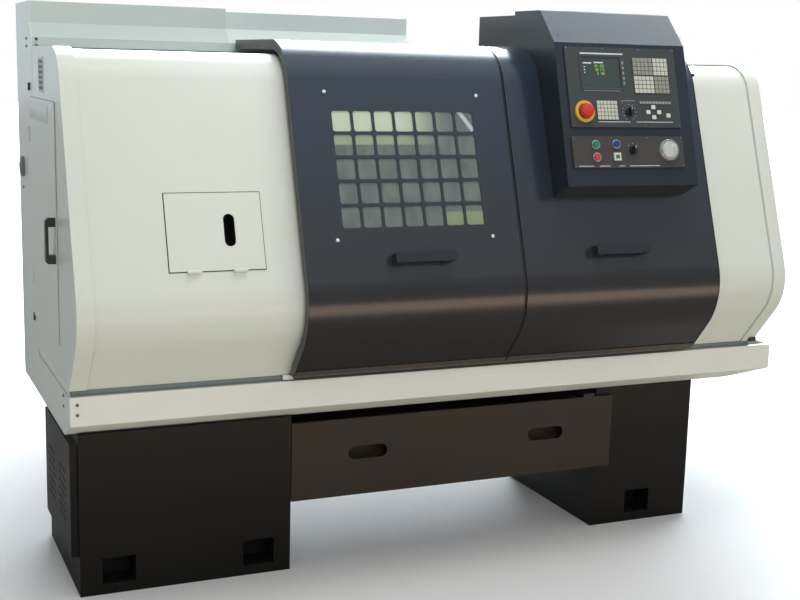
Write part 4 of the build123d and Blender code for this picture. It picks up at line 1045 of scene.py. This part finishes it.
def pale_floor():
    """Pale matt floor that fades into the white background away from the machine."""
    nodes = Nodes("pale_floor")
    paths = nodes.add("ShaderNodeLightPath")
    seen, mirrored = paths.outputs["Is Camera Ray"], paths.outputs["Is Glossy Ray"]
    shade = nodes.blend(mirrored, nodes.blend(seen, FLOOR_BOUNCE, FLOOR_WHITE), FLOOR_MIRRORED)
    nodes.link(shade, nodes.shader.inputs["Base Color"])
    nodes.shader.inputs["Roughness"].default_value = FLOOR_ROUGHNESS
    reach = nodes.add("ShaderNodeVectorMath", operation="LENGTH")
    nodes.link(nodes.place, reach.inputs[0])
    white = nodes.math("MULTIPLY", nodes.span(reach.outputs["Value"], *FLOOR_FADE), seen)
    # The hall's warm floor in front of the machine shows only in its polished faces
    across, depth, _ = nodes.axes()
    warm = nodes.math("MULTIPLY", nodes.span(depth, *HALL_NEAR, 1.0, 0.0), nodes.span(depth, *HALL_FAR))
    warm = nodes.math("MULTIPLY", warm, nodes.span(across, *HALL_RIGHT, 1.0, 0.0))
    warm = nodes.math("MULTIPLY", warm, nodes.math("MULTIPLY", mirrored, HALL_LIGHT))
    nodes.link(nodes.blend(mirrored, (1.0, 1.0, 1.0), HALL_WARMTH), nodes.shader.inputs["Emission Color"])
    nodes.link(nodes.math("ADD", white, warm), nodes.shader.inputs["Emission Strength"])
    return nodes.material


def studio_floor():
    bpy.ops.mesh.primitive_plane_add(size=FLOOR_SIZE, location=(0, 0, 0))
    floor = bpy.context.object
    floor.name = "floor"
    floor.data.materials.append(pale_floor())


def studio_room():
    """White for the camera and a dim, even light for matt faces, a little dimmer from the left.

    Polished faces mirror a white backdrop behind the machine with a bright strip in its right half,
    a soft ceiling and a dark room in front.
    """
    world = bpy.data.worlds.new("studio")
    bpy.context.scene.world = world
    world.use_nodes = True
    nodes = Nodes.of_tree(world.node_tree)
    background = world.node_tree.nodes["Background"]
    x, y, z = nodes.axes("Generated")
    paths = nodes.add("ShaderNodeLightPath")
    polished = paths.outputs["Is Glossy Ray"]
    ceiling = nodes.span(z, *CEILING_RISE, GLOSSY_ROOM, GLOSSY_CEILING)
    mirrored = nodes.math("MAXIMUM", ceiling, nodes.span(y, *BACKDROP_RISE, 0.0, GLOSSY_BACKDROP))
    strip = nodes.math("MULTIPLY", nodes.span(z, *STRIP_RISE), nodes.span(z, *STRIP_FALL, STRIP_LIGHT, 0.0))
    place_of_strip = nodes.math("MULTIPLY", nodes.span(y, *STRIP_BEHIND), nodes.span(x, *STRIP_RIGHT))
    mirrored = nodes.math("ADD", mirrored, nodes.math("MULTIPLY", strip, place_of_strip))
    soft = nodes.span(x, *SHADE_RISE, WORLD_LEVEL * LEFT_SHADE, WORLD_LEVEL)
    clear = nodes.math("MAXIMUM", paths.outputs["Is Camera Ray"], paths.outputs["Is Transmission Ray"])
    strength = nodes.mix_value(clear, nodes.mix_value(polished, soft, mirrored), 1.0)
    nodes.link(strength, background.inputs["Strength"])
    nodes.link(nodes.blend(polished, (1.0, 1.0, 1.0), GLOSSY_TINT), background.inputs["Color"])


dress_nodes()
left_end_details()
casing_details()
door_details()
display_details()
key_details()
stop_details()
switch_details()
button_details()
dial_details()
photo_camera()
studio_floor()
studio_room()
for lamp_values in LAMPS:
    area_light(*lamp_values)
bpy.context.scene.view_settings.view_transform = "Standard"
